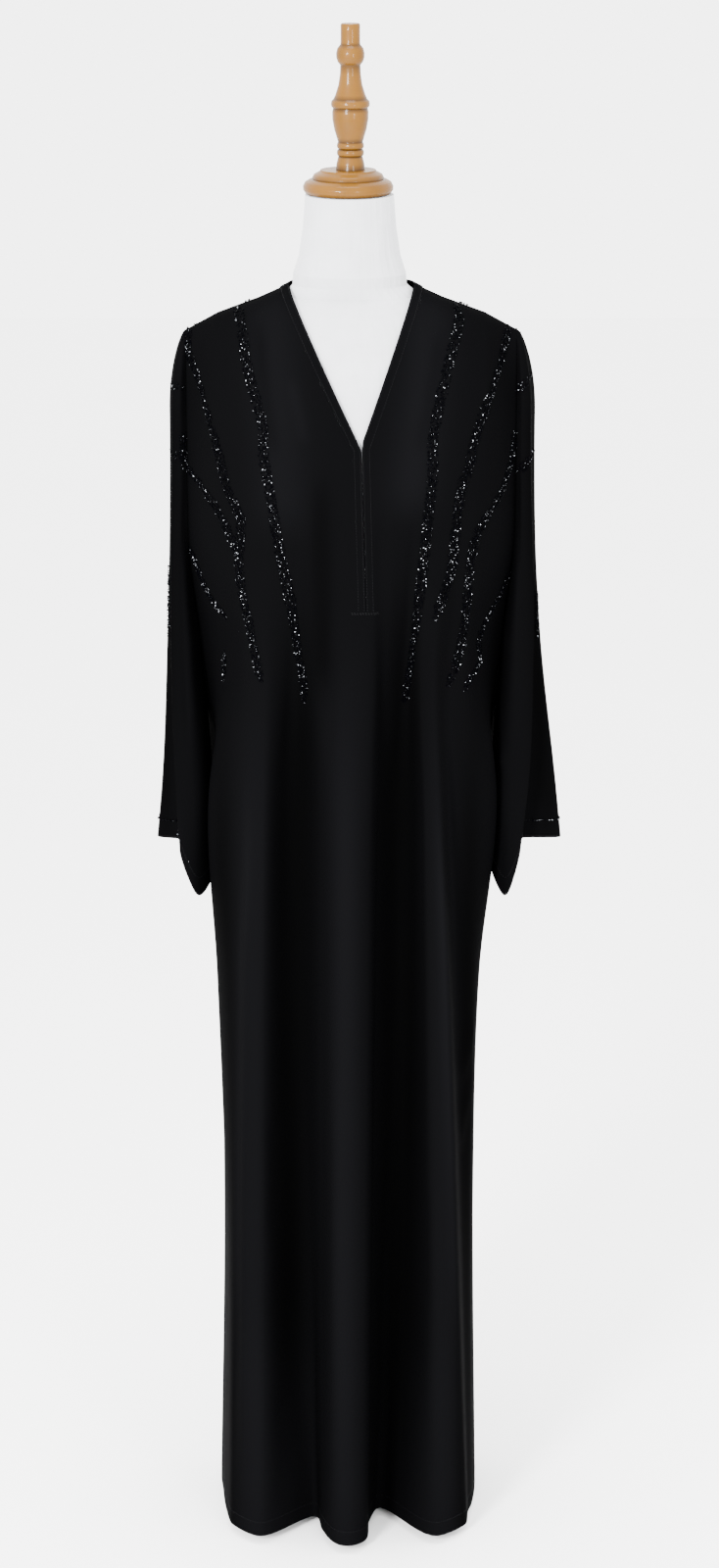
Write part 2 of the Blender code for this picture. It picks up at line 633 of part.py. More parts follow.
def cloth_wall(faces, points, normals, shared):
    """Points and faces of a closed wall of cloth, drawn back by half a gap along its seams."""
    edges = boundary_edges(faces)
    ends = {}
    for a, b in edges:
        ends.setdefault(a, []).append(b)
        ends.setdefault(b, []).append(a)
    inward = {}
    for corners in faces:
        centre = sum((points[c] for c in corners), Vector((0, 0, 0))) / len(corners)
        for corner in corners:
            if corner in ends and corner in shared:
                inward[corner] = inward.get(corner, Vector((0, 0, 0))) + (centre - points[corner])
    outer = {}
    for corner in {c for corners in faces for c in corners}:
        place = points[corner].copy()
        if corner in inward:
            direction = inward[corner]
            direction -= normals[corner] * direction.dot(normals[corner])
            if len(ends[corner]) == 2:
                run = (points[ends[corner][0]] - points[ends[corner][1]]).normalized()
                direction -= run * direction.dot(run)
            place += direction.normalized() * (SEAM_GAP / 2)
        outer[corner] = place
    order = {corner: k for k, corner in enumerate(outer)}
    count = len(order)
    wall_points = [outer[c] for c in order] + [outer[c] - normals[c] * CLOTH_THICKNESS for c in order]
    wall_faces = []
    for corners in faces:
        ids = [order[c] for c in corners]
        wall_faces.append(ids)
        wall_faces.append([i + count for i in reversed(ids)])
    for a, b in edges:
        outer_a, outer_b = order[a], order[b]
        inner_a, inner_b = outer_a + count, outer_b + count
        if a < b:
            wall_faces += [[outer_b, outer_a, inner_b], [outer_a, inner_a, inner_b]]
        else:
            wall_faces += [[outer_b, outer_a, inner_a], [outer_b, inner_a, inner_b]]
    return wall_points, wall_faces


def lathe(profile, sides, axis_x):
    """Closed turned solid from radius and height pairs in mm, listed from the bottom up."""
    points = []
    faces = []
    for radius, height in profile:
        for i in range(sides):
            angle = 2 * pi * i / sides
            points.append((axis_x + radius * MM * cos(angle), radius * MM * sin(angle), height * MM))
    for r in range(len(profile) - 1):
        for i in range(sides):
            j = (i + 1) % sides
            faces.append((r * sides + i, r * sides + j, (r + 1) * sides + j, (r + 1) * sides + i))
    faces.append(tuple(range(sides))[::-1])
    faces.append(tuple(range((len(profile) - 1) * sides, len(profile) * sides)))
    return points, faces


def oval_section(z, half_width, front, behind):
    points = []
    for i in range(FORM_SIDES):
        angle = 2 * pi * i / FORM_SIDES
        out = sin(angle) * (behind if sin(angle) >= 0 else front)
        points.append((FORM_AXIS_X + half_width * cos(angle), out, z))
    return points


def yoke_section(z, half_width):
    """Section of the form under the yoke: the cloth's own roundness, drawn in."""
    points = []
    for i in range(FORM_SIDES):
        angle = 2 * pi * i / FORM_SIDES
        x = half_width * cos(angle)
        closing = max(1 - (abs(x) / half_width) ** FORM_SQUARENESS, 0.0) ** 0.5
        if sin(angle) >= 0:
            out = yoke_depth(x, z + FORM_LIFT, BACK_DEPTH, BACK_NECK_RISE)
        else:
            out = yoke_depth(x, z + FORM_LIFT, CHEST_DEPTH, CHEST_NECK_RISE)
        out = max(out - FORM_INSET, 0.0) * closing
        points.append((x, out if sin(angle) >= 0 else -out, z))
    return points


def drawn_inside(point, cloth):
    """The point, moved towards the form's axis until it is inside the cloth and clear of it."""
    axis = Vector((FORM_AXIS_X, 0.0, point[2]))
    place = Vector(point)
    hit = cloth.ray_cast(axis, place - axis)[0]
    if hit is not None and (hit - axis).length < (place - axis).length:
        place = hit
    while cloth.find_nearest(place)[3] < FORM_CLEARANCE:
        place = axis + (place - axis) * FORM_DRAW_IN
    return tuple(place)


def form_body(cloth):
    """The jersey form: rounded sections from its flat underside up to the neck."""
    sections = [oval_section(*row) for row in FORM_TORSO]
    sections += [yoke_section(*row) for row in FORM_YOKE]
    sections += [oval_section(*row) for row in FORM_NECK]
    points = [drawn_inside(point, cloth) for ring in sections for point in ring]
    faces = []
    for r in range(len(sections) - 1):
        for i in range(FORM_SIDES):
            j = (i + 1) % FORM_SIDES
            low = r * FORM_SIDES
            high = low + FORM_SIDES
            faces.append((low + i, low + j, high + j, high + i))
    faces.append(tuple(range(FORM_SIDES))[::-1])
    faces.append(tuple(range(len(points) - FORM_SIDES, len(points))))
    return points, faces


def foot_outline():
    """Outline of the crossed foot, anticlockwise from above."""
    half = FOOT_ARM_WIDTH / 2
    side = FOOT_REACH_SIDE
    return [(half, -half), (side, -half), (side, half), (half, half), (half, FOOT_REACH_BACK),
            (-half, FOOT_REACH_BACK), (-half, half), (-side, half), (-side, -half), (-half, -half),
            (-half, -FOOT_REACH_FRONT), (half, -FOOT_REACH_FRONT)]


def crossed_foot():
    outline = foot_outline()
    count = len(outline)
    points = [(x, y, 0.0) for x, y in outline] + [(x, y, FOOT_THICKNESS) for x, y in outline]
    faces = [tuple(range(count))[::-1], tuple(range(count, 2 * count))]
    for i in range(count):
        j = (i + 1) % count
        faces.append((i, j, j + count, i + count))
    return points, faces


def clear_scene():
    for item in list(bpy.data.objects):
        bpy.data.objects.remove(item, do_unlink=True)


def make_material(name):
    colour, roughness, metallic = MATERIALS[name]
    material = bpy.data.materials.new(name)
    material.use_nodes = True
    shader = material.node_tree.nodes["Principled BSDF"]
    shader.inputs["Base Color"].default_value = (*colour, 1.0)
    shader.inputs["Roughness"].default_value = roughness
    shader.inputs["Metallic"].default_value = metallic
    material.diffuse_color = (*colour, 1.0)
    return material


def add_object(name, points, faces, material, sharp_angle):
    mesh = bpy.data.meshes.new(name)
    mesh.from_pydata([tuple(p) for p in points], [], [tuple(f) for f in faces])
    mesh.update()
    mesh.shade_smooth()
    mesh.set_sharp_from_angle(angle=radians(sharp_angle))
    mesh.materials.append(material)
    item = bpy.data.objects.new(name, mesh)
    bpy.context.scene.collection.objects.link(item)
    return item


def build_garment(material):
    """Add every cloth piece, and give back the whole cloth for the form to stay clear of."""
    cloth_points = []
    cloth_faces = []
    points, numbered = shared_points(garment_pieces())
    normals = surface_normals(points, numbered)
    for k, point in enumerate(points):
        if abs(point.z - UNDERARM_Z) < MM and abs(point.y - UNDERARM_Y) < MM:
            normals[k] = Vector((0, 0, -1))
    users = {}
    for name, faces in numbered.items():
        for corner in {c for corners in faces for c in corners}:
            users.setdefault(corner, set()).add(name)
    shared = {corner for corner, names in users.items() if len(names) > 1}
    for name, faces in numbered.items():
        wall_points, wall_faces = cloth_wall(faces, points, normals, shared)
        add_object(name, wall_points, wall_faces, material, 60)
        first = len(cloth_points)
        cloth_points += wall_points
        cloth_faces += [[first + corner for corner in corners] for corners in wall_faces]
    return BVHTree.FromPolygons(cloth_points, cloth_faces)


def build_form(materials, cloth):
    points, faces = form_body(cloth)
    add_object("form_body", points, faces, materials["white_jersey"], 50)
    points, faces = lathe(CAP_PROFILE, TURNED_SIDES, CAP_AXIS_X)
    add_object("neck_cap", points, faces, materials["varnished_wood"], 50)
    points, faces = lathe(FINIAL_PROFILE, TURNED_SIDES, FINIAL_AXIS_X)
    add_object("finial", points, faces, materials["varnished_wood"], 50)


def build_stand(material):
    points, faces = crossed_foot()
    foot = add_object("foot", points, faces, material, 30)
    bevel = foot.modifiers.new("edges", "BEVEL")
    bevel.width = FOOT_BEVEL
    bevel.segments = 1
    bevel.limit_method = "ANGLE"
    pole_bottom = (FOOT_THICKNESS + PART_GAP) / MM
    pole_top = (FORM_TORSO[0][0] - PART_GAP) / MM
    profile = ((POLE_RADIUS / MM, pole_bottom), (POLE_RADIUS / MM, pole_top))
    points, faces = lathe(profile, POLE_SIDES, 0.0)
    add_object("pole", points, faces, material, 40)


clear_scene()
all_materials = {name: make_material(name) for name in MATERIALS}
worn_cloth = build_garment(all_materials["black_crepe"])
build_form(all_materials, worn_cloth)
build_stand(all_materials["painted_steel"])
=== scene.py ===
import random
from collections import namedtuple
from math import cos, pi, radians, sin

import bpy
import numpy as np
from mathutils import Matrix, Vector
from mathutils.bvhtree import BVHTree


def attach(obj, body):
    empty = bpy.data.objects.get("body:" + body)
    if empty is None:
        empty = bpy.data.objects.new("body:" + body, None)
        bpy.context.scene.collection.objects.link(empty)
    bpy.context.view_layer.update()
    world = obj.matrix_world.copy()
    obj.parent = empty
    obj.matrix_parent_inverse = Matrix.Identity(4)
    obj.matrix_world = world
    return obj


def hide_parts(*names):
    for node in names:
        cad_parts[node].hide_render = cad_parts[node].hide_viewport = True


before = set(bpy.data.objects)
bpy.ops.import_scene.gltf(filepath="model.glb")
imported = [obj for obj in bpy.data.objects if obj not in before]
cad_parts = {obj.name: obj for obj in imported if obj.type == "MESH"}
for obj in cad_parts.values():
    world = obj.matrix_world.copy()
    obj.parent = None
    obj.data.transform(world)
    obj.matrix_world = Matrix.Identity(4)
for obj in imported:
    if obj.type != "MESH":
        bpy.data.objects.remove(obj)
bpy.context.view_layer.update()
mm = 0.001

# A long pull-on abaya on a limbless jersey form. The wearer faces -Y.
# Left and right are the viewer's, seen from the front.
print("garment: sizes")

cloth = {
    "thickness": 1.5 * mm,
    "seamGap": 0.04 * mm,
    "hemHeight": 0.012,
    "cuffDepth": 0.024,
    "bandWidth": 0.0095,
    "seamBlend": 0.10,
    "finer": 5,  # columns of the drawn cloth for each one of the fold tables
    "rowHeight": 9 * mm,
}

neck = {
    "collarX": 0.0805,
    "point": (0.0705, 1.5065),
    "spacing": 1.6,
    "vBottomZ": 1.3490,
    "vBottomLeftX": 0.0066,
    "vBottomRightX": 0.0128,
    "vSeamBottomZ": 1.3390,
    "slitBottomZ": 1.158,
    "slitTopX": 0.0113,
    "slitBottomX": 0.0163,
    "slitTopWidth": 0.0006,
    "slitBottomWidth": 0.0004,
    "backNeckDip": 0.005,
}

yoke = {
    "shoulderX": 0.186,
    "shoulderLine": ((0.0805, 1.5010), (0.104, 1.4905), (0.150, 1.4735), (0.172, 1.4615), (0.186, 1.4540)),
    "chestDepth": 0.127,
    "backDepth": 0.112,
    "chestNeckRise": 0.010,
    "backNeckRise": 0.055,
    "reach": 0.25,
    "reachLoss": 0.12,
    "roundness": 0.45,
    "ovalX": 0.205,
    "armholeRoll": 0.5,
    "armholeRollX": 0.150,
    "baseZ": 1.25,
    "underarmZ": 1.10,
    "underarmY": 0.002,
    "rows": 32,
    "rowPower": 1.35,
}

sleeve = {
    "armTopZ": 1.36,
    "endRows": 8,
    "capDrop": 0.09,
    "capPower": 0.6,
    "seamColumns": 2,
}

# Heights of the levels at which the fold tables give each fold's place
levels = (yoke["baseZ"], yoke["underarmZ"], 0.92, 0.70, 0.40, cloth["hemHeight"])


def filledIn(heights):
    # The heights after the first, with even rows between them.
    rows = []
    for upper, lower in zip(heights[:-1], heights[1:]):
        count = max(round((upper - lower) / cloth["rowHeight"]), 1)
        rows += [upper + (lower - upper) * k / count for k in range(1, count)] + [lower]
    return tuple(rows)


# Rows of the draped surface, from the shoulders down
lowerRows = filledIn((yoke["baseZ"], neck["slitBottomZ"]) + levels[1:])

# One row for each fold line: its name, the columns between it and the next fold, how soft
# its crest is (1 is round), and its place across and in depth at each level, in mm.
# The first depth of a fold is left to the yoke's own roundness.
Fold = namedtuple("Fold", "name columns softness across depth")

frontFolds = (
    Fold("seam_left", 2, 1.0, (-186, -176, -150, -154, -152, -159), (0, 2, 12, 6, 0, 4)),
    Fold("edge_left", 3, 0.9, (-160, -138, -165, -158, -150, -153), (0, -62, -48, -32, -38, -50)),
    Fold("ridge_left", 2, 0.6, (-132, -118, -121, -130, -138, -146), (0, -98, -110, -106, -95, -84)),
    Fold("soft_left", 3, 1.0, (-104, -98, -101, -106, -109, -114), (0, -114, -126, -123, -118, -116)),
    Fold("trough_left", 3, 1.0, (-72, -62, -64, -61, -54, -42), (0, -107, -98, -90, -79, -68)),
    Fold("mid_left", 2, 0.8, (-42, -40, -37, -38, -37, -36.5), (0, -121, -116, -108, -100, -98)),
    Fold("mid", 1, 1.0, (-16, -12, -7, -4, -8, -9), (0, -127, -136, -141, -142, -141)),
    Fold("centre_left", 3, 1.0, (4, 5, 4, 3, 0, -1), (0, -129, -138, -142, -142, -141)),
    Fold("centre_right", 2, 1.0, (26, 26, 22, 19, 15, 12), (0, -129, -133, -135, -135, -133)),
    Fold("mid_right", 3, 0.7, (46, 40, 33, 29, 25, 20.5), (0, -117, -110, -101, -90, -80)),
    Fold("trough_right", 2, 1.0, (74, 62, 56, 53, 44, 30), (0, -101, -94, -82, -64, -46)),
    Fold("soft_right", 1, 1.0, (92, 80, 84, 89, 98, 104), (0, -116, -125, -123, -118, -116)),
    Fold("ridge_right", 2, 0.6, (106, 94, 100, 111, 122, 138), (0, -114, -119, -115, -104, -85)),
    Fold("valley_right", 2, 0.8, (122, 110, 113, 122, 131, 142), (0, -92, -84, -72, -62, -50)),
    Fold("second_right", 2, 0.9, (140, 128, 137, 141, 141, 146), (0, -82, -76, -56, -42, -34)),
    Fold("edge_right", 2, 0.9, (160, 143, 167, 150, 145, 149), (0, -58, -44, -26, -18, -14)),
    Fold("seam_right", 0, 1.0, (186, 174, 152, 146, 145, 151), (0, 2, 12, 6, 2, 6)),
)

backFolds = (
    Fold("seam_right", 2, 1.0, (186, 174, 152, 146, 145, 151), (0, 2, 12, 6, 2, 6)),
    Fold("back_edge_right", 3, 0.9, (160, 173, 165, 147, 146, 151), (0, 50, 52, 54, 56, 60)),
    Fold("back_ridge_right", 2, 0.8, (130, 124, 126, 129, 132, 137), (0, 80, 94, 101, 104, 107)),
    Fold("back_soft_right", 4, 1.0, (104, 98, 98, 98, 99, 102), (0, 98, 116, 125, 131, 135)),
    Fold("back_trough_right", 2, 1.0, (72, 63, 62, 63, 65, 66), (0, 90, 88, 85, 81, 78)),
    Fold("back_mid_right", 2, 0.9, (40, 36, 37, 38, 38, 38), (0, 104, 110, 112, 112, 112)),
    Fold("back_mid", 2, 1.0, (0, 1, 3, 4, 4, 2), (0, 110, 130, 139, 144, 148)),
    Fold("back_mid_left", 2, 0.9, (-40, -35, -32, -32, -33, -35), (0, 104, 112, 115, 117, 119)),
    Fold("back_trough_left", 3, 1.0, (-72, -63, -60, -60, -61, -64), (0, 91, 90, 87, 83, 80)),
    Fold("back_soft_left", 2, 1.0, (-104, -100, -104, -104, -104, -106), (0, 97, 114, 123, 128, 134)),
    Fold("back_ridge_left", 3, 0.8, (-132, -125, -130, -135, -138, -146), (0, 80, 92, 99, 103, 106)),
    Fold("back_edge_left", 2, 0.9, (-160, -174, -168, -157, -154, -162), (0, 50, 52, 55, 57, 58)),
    Fold("seam_left", 0, 1.0, (-186, -176, -150, -154, -152, -159), (0, 2, 12, 6, 0, 4)),
)

# Sleeves: places at each sleeve level in mm, and the height of the cuff's lower edge. The
# levels are the upper arm, the underarm, the forearm and the cuff's own lower edge.
sleeveLevels = (sleeve["armTopZ"], yoke["underarmZ"], 0.92)
sleeveRows = filledIn((yoke["underarmZ"], 0.92))
SleeveFold = namedtuple("SleeveFold", "name columns softness across depth endZ")

sleeveFoldsLeft = (
    SleeveFold("back_inner", 2, 1.0, (-191, -174.5, -168, -170), (26, 28, 30, 29), 0.815),
    SleeveFold("back_lobe", 2, 1.0, (-197, -193, -192, -190), (30, 38, 42, 42), 0.835),
    SleeveFold("back_outer", 2, 1.0, (-204, -207, -213, -217), (17, 23, 26, 27), 0.859),
    SleeveFold("outer", 2, 0.9, (-206, -212, -221, -227), (0, 0, 1, 1), 0.857),
    SleeveFold("pleat", 1, 0.7, (-204.5, -205, -199.5, -196.5), (-14, -15, -15, -15), 0.857),
    SleeveFold("front_edge", 2, 0.6, (-201, -206.5, -203, -199.7), (-28, -34, -37, -37), 0.851),
    SleeveFold("front_lobe", 2, 1.0, (-193, -190, -181, -177.5), (-32, -37, -38, -39), 0.797),
)
sleeveFoldsRight = (
    SleeveFold("front_lobe", 2, 1.0, (192, 188, 182, 178), (-32, -37, -38, -39), 0.797),
    SleeveFold("front_edge", 1, 0.6, (201, 208, 203.5, 196), (-28, -34, -37, -37), 0.854),
    SleeveFold("pleat", 2, 0.7, (204, 206, 199, 192), (-14, -15, -15, -15), 0.858),
    SleeveFold("outer", 2, 0.9, (208, 217, 238, 244.5), (0, 0, 1, 1), 0.857),
    SleeveFold("back_outer", 2, 1.0, (205, 209, 224, 230), (17, 23, 26, 27), 0.859),
    SleeveFold("back_lobe", 2, 1.0, (197, 193, 196, 196), (30, 38, 42, 42), 0.838),
    SleeveFold("back_inner", 2, 1.0, (190, 174, 168, 170), (26, 28, 30, 29), 0.815),
)
# The sleeve's underarm line below the armhole: forearm and cuff, and its lower end
underarmLineLeft = ((-162, -163), (0, -2), 0.810)
underarmLineRight = ((162, 162), (0, -2), 0.822)


def smoothStep(value):
    t = min(max(value, 0.0), 1.0)
    return t * t * (3 - 2 * t)


def shoulderHeight(x, neckRise):
    # Height of the shoulder line, or of the neck's rise inside it, at a distance from the axis.
    across = abs(x)
    widths, heights = zip(*yoke["shoulderLine"])
    if across >= neck["collarX"]:
        return float(np.interp(across, widths, heights))
    return heights[0] + neckRise * (1 - (across / neck["collarX"]) ** 2)


def yokeDepth(x, z, depth, neckRise):
    # How far the cloth stands from the shoulder plane over the form's chest or back.
    across = min(abs(x), yoke["shoulderX"])
    share = across / yoke["shoulderX"]
    below = max(shoulderHeight(x, neckRise) - z, 0.0)
    reach = yoke["reach"] - yoke["reachLoss"] * share * share
    rise = sin(0.5 * pi * min(below / reach, 1.0)) ** yoke["roundness"]
    roundOff = (1 - (across / yoke["ovalX"]) ** 2) ** 0.5
    rolled = smoothStep((across - yoke["armholeRollX"]) / (yoke["shoulderX"] - yoke["armholeRollX"]))
    return depth * rise * roundOff * (1 - yoke["armholeRoll"] * rolled)


def chestY(x, z):
    return -yokeDepth(x, z, yoke["chestDepth"], yoke["chestNeckRise"])


def backY(x, z):
    return yokeDepth(x, z, yoke["backDepth"], yoke["backNeckRise"])


def slopes(places, values):
    # Smooth slopes through uneven places, level at the first one.
    steps = np.diff(places)
    rates = np.diff(values) / steps
    result = np.zeros(len(values))
    result[1:-1] = (rates[:-1] * steps[1:] + rates[1:] * steps[:-1]) / (steps[:-1] + steps[1:])
    result[-1] = rates[-1]
    return result


def hermite(t):
    # Weights of a start, its slope, an end and its slope at a share of the way.
    return 2 * t ** 3 - 3 * t ** 2 + 1, t ** 3 - 2 * t ** 2 + t, -2 * t ** 3 + 3 * t ** 2, t ** 3 - t ** 2


def between(start, end, share):
    # Points at a share of the way from those of one line to those of another.
    return [a * (1 - share) + b * share for a, b in zip(start, end)]


def along(places, values, where):
    # Value at a place on the smooth curve through the given places and values.
    places = np.asarray(places, float)
    values = np.asarray(values, float)
    if places[0] > places[-1]:
        places = places[::-1]
        values = values[::-1]
        slope = -slopes(-places[::-1], values[::-1])[::-1]
    else:
        slope = slopes(places, values)
    where = min(max(where, places[0]), places[-1])
    k = min(int(np.searchsorted(places, where, side="right")) - 1, len(places) - 2)
    width = places[k + 1] - places[k]
    h00, h10, h01, h11 = hermite((where - places[k]) / width)
    return h00 * values[k] + h10 * width * slope[k] + h01 * values[k + 1] + h11 * width * slope[k + 1]


def through(points, softness, columns, before, after):
    # Points on the smooth line through fold points, with a number of columns between each two.
    ring = [before] + list(points) + [after]
    ring = [np.asarray(p, float) for p in ring]
    tangents = []
    for k in range(1, len(ring) - 1):
        back = ring[k] - ring[k - 1]
        ahead = ring[k + 1] - ring[k]
        sizeBack = max(np.linalg.norm(back), 1e-6)
        sizeAhead = max(np.linalg.norm(ahead), 1e-6)
        mean = (back / sizeBack * sizeAhead + ahead / sizeAhead * sizeBack) / (sizeBack + sizeAhead)
        tangents.append(mean * softness[k - 1])
    result = []
    for k in range(len(points) - 1):
        start = ring[k + 1]
        end = ring[k + 2]
        size = np.linalg.norm(end - start)
        for i in range(columns[k]):
            h00, h10, h01, h11 = hermite(i / columns[k])
            result.append(h00 * start + h01 * end + (h10 * tangents[k] + h11 * tangents[k + 1]) * size)
    result.append(ring[-2])
    return result


def foldPoints(folds, z, yokeY):
    # Fold line points at a height at or below the yoke.
    points = []
    for fold in folds:
        across = [x * mm for x in fold.across]
        depth = [yokeY(across[0], yoke["baseZ"])] + [y * mm for y in fold.depth[1:]]
        points.append((along(levels, across, z), along(levels, depth, z), z))
    return points


def section(folds, z, yokeY, beforeSeam, afterSeam):
    # One row of a panel. The neighbours are the next panel's folds, met below the underarm.
    points = foldPoints(folds, z, yokeY)
    ends = []
    share = smoothStep((yoke["underarmZ"] - z) / cloth["seamBlend"])
    for seam, inner, neighbour in ((points[0], points[1], beforeSeam), (points[-1], points[-2], afterSeam)):
        opposite = 2 * np.array(seam) - np.array(inner)
        met = np.array((along(levels, [x * mm for x in neighbour.across], z),
                        along(levels, [y * mm for y in neighbour.depth], z), z))
        ends.append(opposite * (1 - share) + met * share)
    softness = [fold.softness for fold in folds]
    columns = [fold.columns * cloth["finer"] for fold in folds]
    return through(points, softness, columns, ends[0], ends[1])


def neckShare(place, count):
    # How far down the neck a point lies, closer together towards the collar.
    return (place / count) ** neck["spacing"]


def necklinePoint(share, side):
    # Point on the front panel's neck seam, from the collar (0) to the top of the slit (1).
    slitX = neck["slitTopX"] + side * (cloth["bandWidth"] + neck["slitTopWidth"] / 2)
    x = side * neck["collarX"] * (1 - share) + slitX * share
    z = yoke["shoulderLine"][0][1] * (1 - share) + neck["vSeamBottomZ"] * share
    return np.array((x, chestY(x, z), z))


def shoulderPoint(share, side):
    # Point on the shoulder seam, from the sleeve (0) to the collar (1).
    x = yoke["shoulderX"] + (neck["collarX"] - yoke["shoulderX"]) * share
    return np.array((side * x, 0.0, shoulderHeight(x, 0.0)))


def shoulderTops(columns):
    # Top edge of a panel's right shoulder, from the sleeve to the collar.
    return [shoulderPoint(j / columns, 1) for j in range(columns + 1)]


def columnsBetween(folds, first, last):
    names = [fold.name for fold in folds]
    start = names.index(first)
    end = names.index(last)
    return cloth["finer"] * sum(fold.columns for fold in folds[min(start, end):max(start, end)])


def mirrored(points):
    return [np.array((-p[0], p[1], p[2])) for p in points]


def frontTops():
    # The front panel's top edge on the left and on the right of the slit.
    leftShoulder = columnsBetween(frontFolds, "seam_left", "trough_left")
    leftNeck = columnsBetween(frontFolds, "trough_left", "centre_left")
    rightShoulder = columnsBetween(frontFolds, "trough_right", "seam_right")
    rightNeck = columnsBetween(frontFolds, "centre_right", "trough_right")
    left = mirrored(shoulderTops(leftShoulder))
    left += [necklinePoint(neckShare(j, leftNeck), -1) for j in range(1, leftNeck + 1)]
    right = shoulderTops(rightShoulder)
    right += [necklinePoint(neckShare(j, rightNeck), 1) for j in range(1, rightNeck + 1)]
    return left, right[::-1]


def backTops():
    # The back panel's top edge, right seam to left seam.
    rightShoulder = columnsBetween(backFolds, "seam_right", "back_trough_right")
    leftShoulder = columnsBetween(backFolds, "back_trough_left", "seam_left")
    neckColumns = columnsBetween(backFolds, "back_trough_right", "back_trough_left")
    tops = shoulderTops(rightShoulder)
    for j in range(1, neckColumns):
        x = neck["collarX"] * cos(pi * j / neckColumns)
        z = yoke["shoulderLine"][0][1] - neck["backNeckDip"] * (1 - (x / neck["collarX"]) ** 2)
        tops.append(np.array((x, backY(x, z), z)))
    return tops + mirrored(shoulderTops(leftShoulder))[::-1]


def yokeGrid(tops, base, yokeY):
    # Rows from a top edge down to the yoke level, on the yoke's rounded form.
    rows = []
    for r in range(yoke["rows"]):
        share = (r / yoke["rows"]) ** yoke["rowPower"]
        row = []
        for top, low in zip(tops, base):
            if r == 0:
                row.append(np.array(top))
                continue
            x = top[0] * (1 - share) + low[0] * share
            z = top[2] * (1 - share) + low[2] * share
            extra = (low[1] - yokeY(low[0], low[2])) * share * share
            row.append(np.array((x, yokeY(x, z) + extra, z)))
        rows.append(row)
    return rows


def slitEdgeX(z, side):
    share = (neck["vBottomZ"] - z) / (neck["vBottomZ"] - neck["slitBottomZ"])
    middle = neck["slitTopX"] * (1 - share) + neck["slitBottomX"] * share
    width = neck["slitTopWidth"] * (1 - share) + neck["slitBottomWidth"] * share
    return middle + side * width / 2


def frontGrid():
    # All rows of the front: its left part, its right part, and the strip between them.
    backLeft = backFolds[-2]
    backRight = backFolds[1]
    heights = (yoke["baseZ"],) + lowerRows
    full = [section(frontFolds, z, chestY, backLeft, backRight) for z in heights]
    leftCount = columnsBetween(frontFolds, "seam_left", "centre_left") + 1
    rightFirst = columnsBetween(frontFolds, "seam_left", "centre_right")
    leftTops, rightTops = frontTops()
    left = yokeGrid(leftTops, full[0][:leftCount], chestY) + [row[:leftCount] for row in full]
    right = yokeGrid(rightTops, full[0][rightFirst:], chestY) + [row[rightFirst:] for row in full]
    slitRow = yoke["rows"] + 1 + lowerRows.index(neck["slitBottomZ"])
    for r in range(1, slitRow + 1):
        for rows, column, side in ((left, -1, -1), (right, 0, 1)):
            z = rows[r][column][2]
            x = slitEdgeX(z, side) + side * cloth["bandWidth"]
            y = rows[r][column][1]
            rows[r][column] = np.array((x, y, z))
    strip = [row[leftCount - 1:rightFirst + 1] for row in full]
    top = strip[slitRow - yoke["rows"]]
    top[0] = left[slitRow][-1]
    top[-1] = right[slitRow][0]
    edgeX = (top[0][0], slitEdgeX(neck["slitBottomZ"], -1), slitEdgeX(neck["slitBottomZ"], 1), top[-1][0])
    edgeColumns = [k * cloth["finer"] for k in range(4)]
    for column in range(1, edgeColumns[-1]):
        x = np.interp(column, edgeColumns, edgeX)
        y = np.interp(column, edgeColumns, (top[0][1], top[0][1], top[-1][1], top[-1][1]))
        top[column] = np.array((x, y, neck["slitBottomZ"]))
    return left, right, strip[slitRow - yoke["rows"]:], slitRow


def backGrid():
    frontRight = frontFolds[-2]
    frontLeft = frontFolds[1]
    heights = (yoke["baseZ"],) + lowerRows
    full = [section(backFolds, z, backY, frontRight, frontLeft) for z in heights]
    return yokeGrid(backTops(), full[0], backY) + full


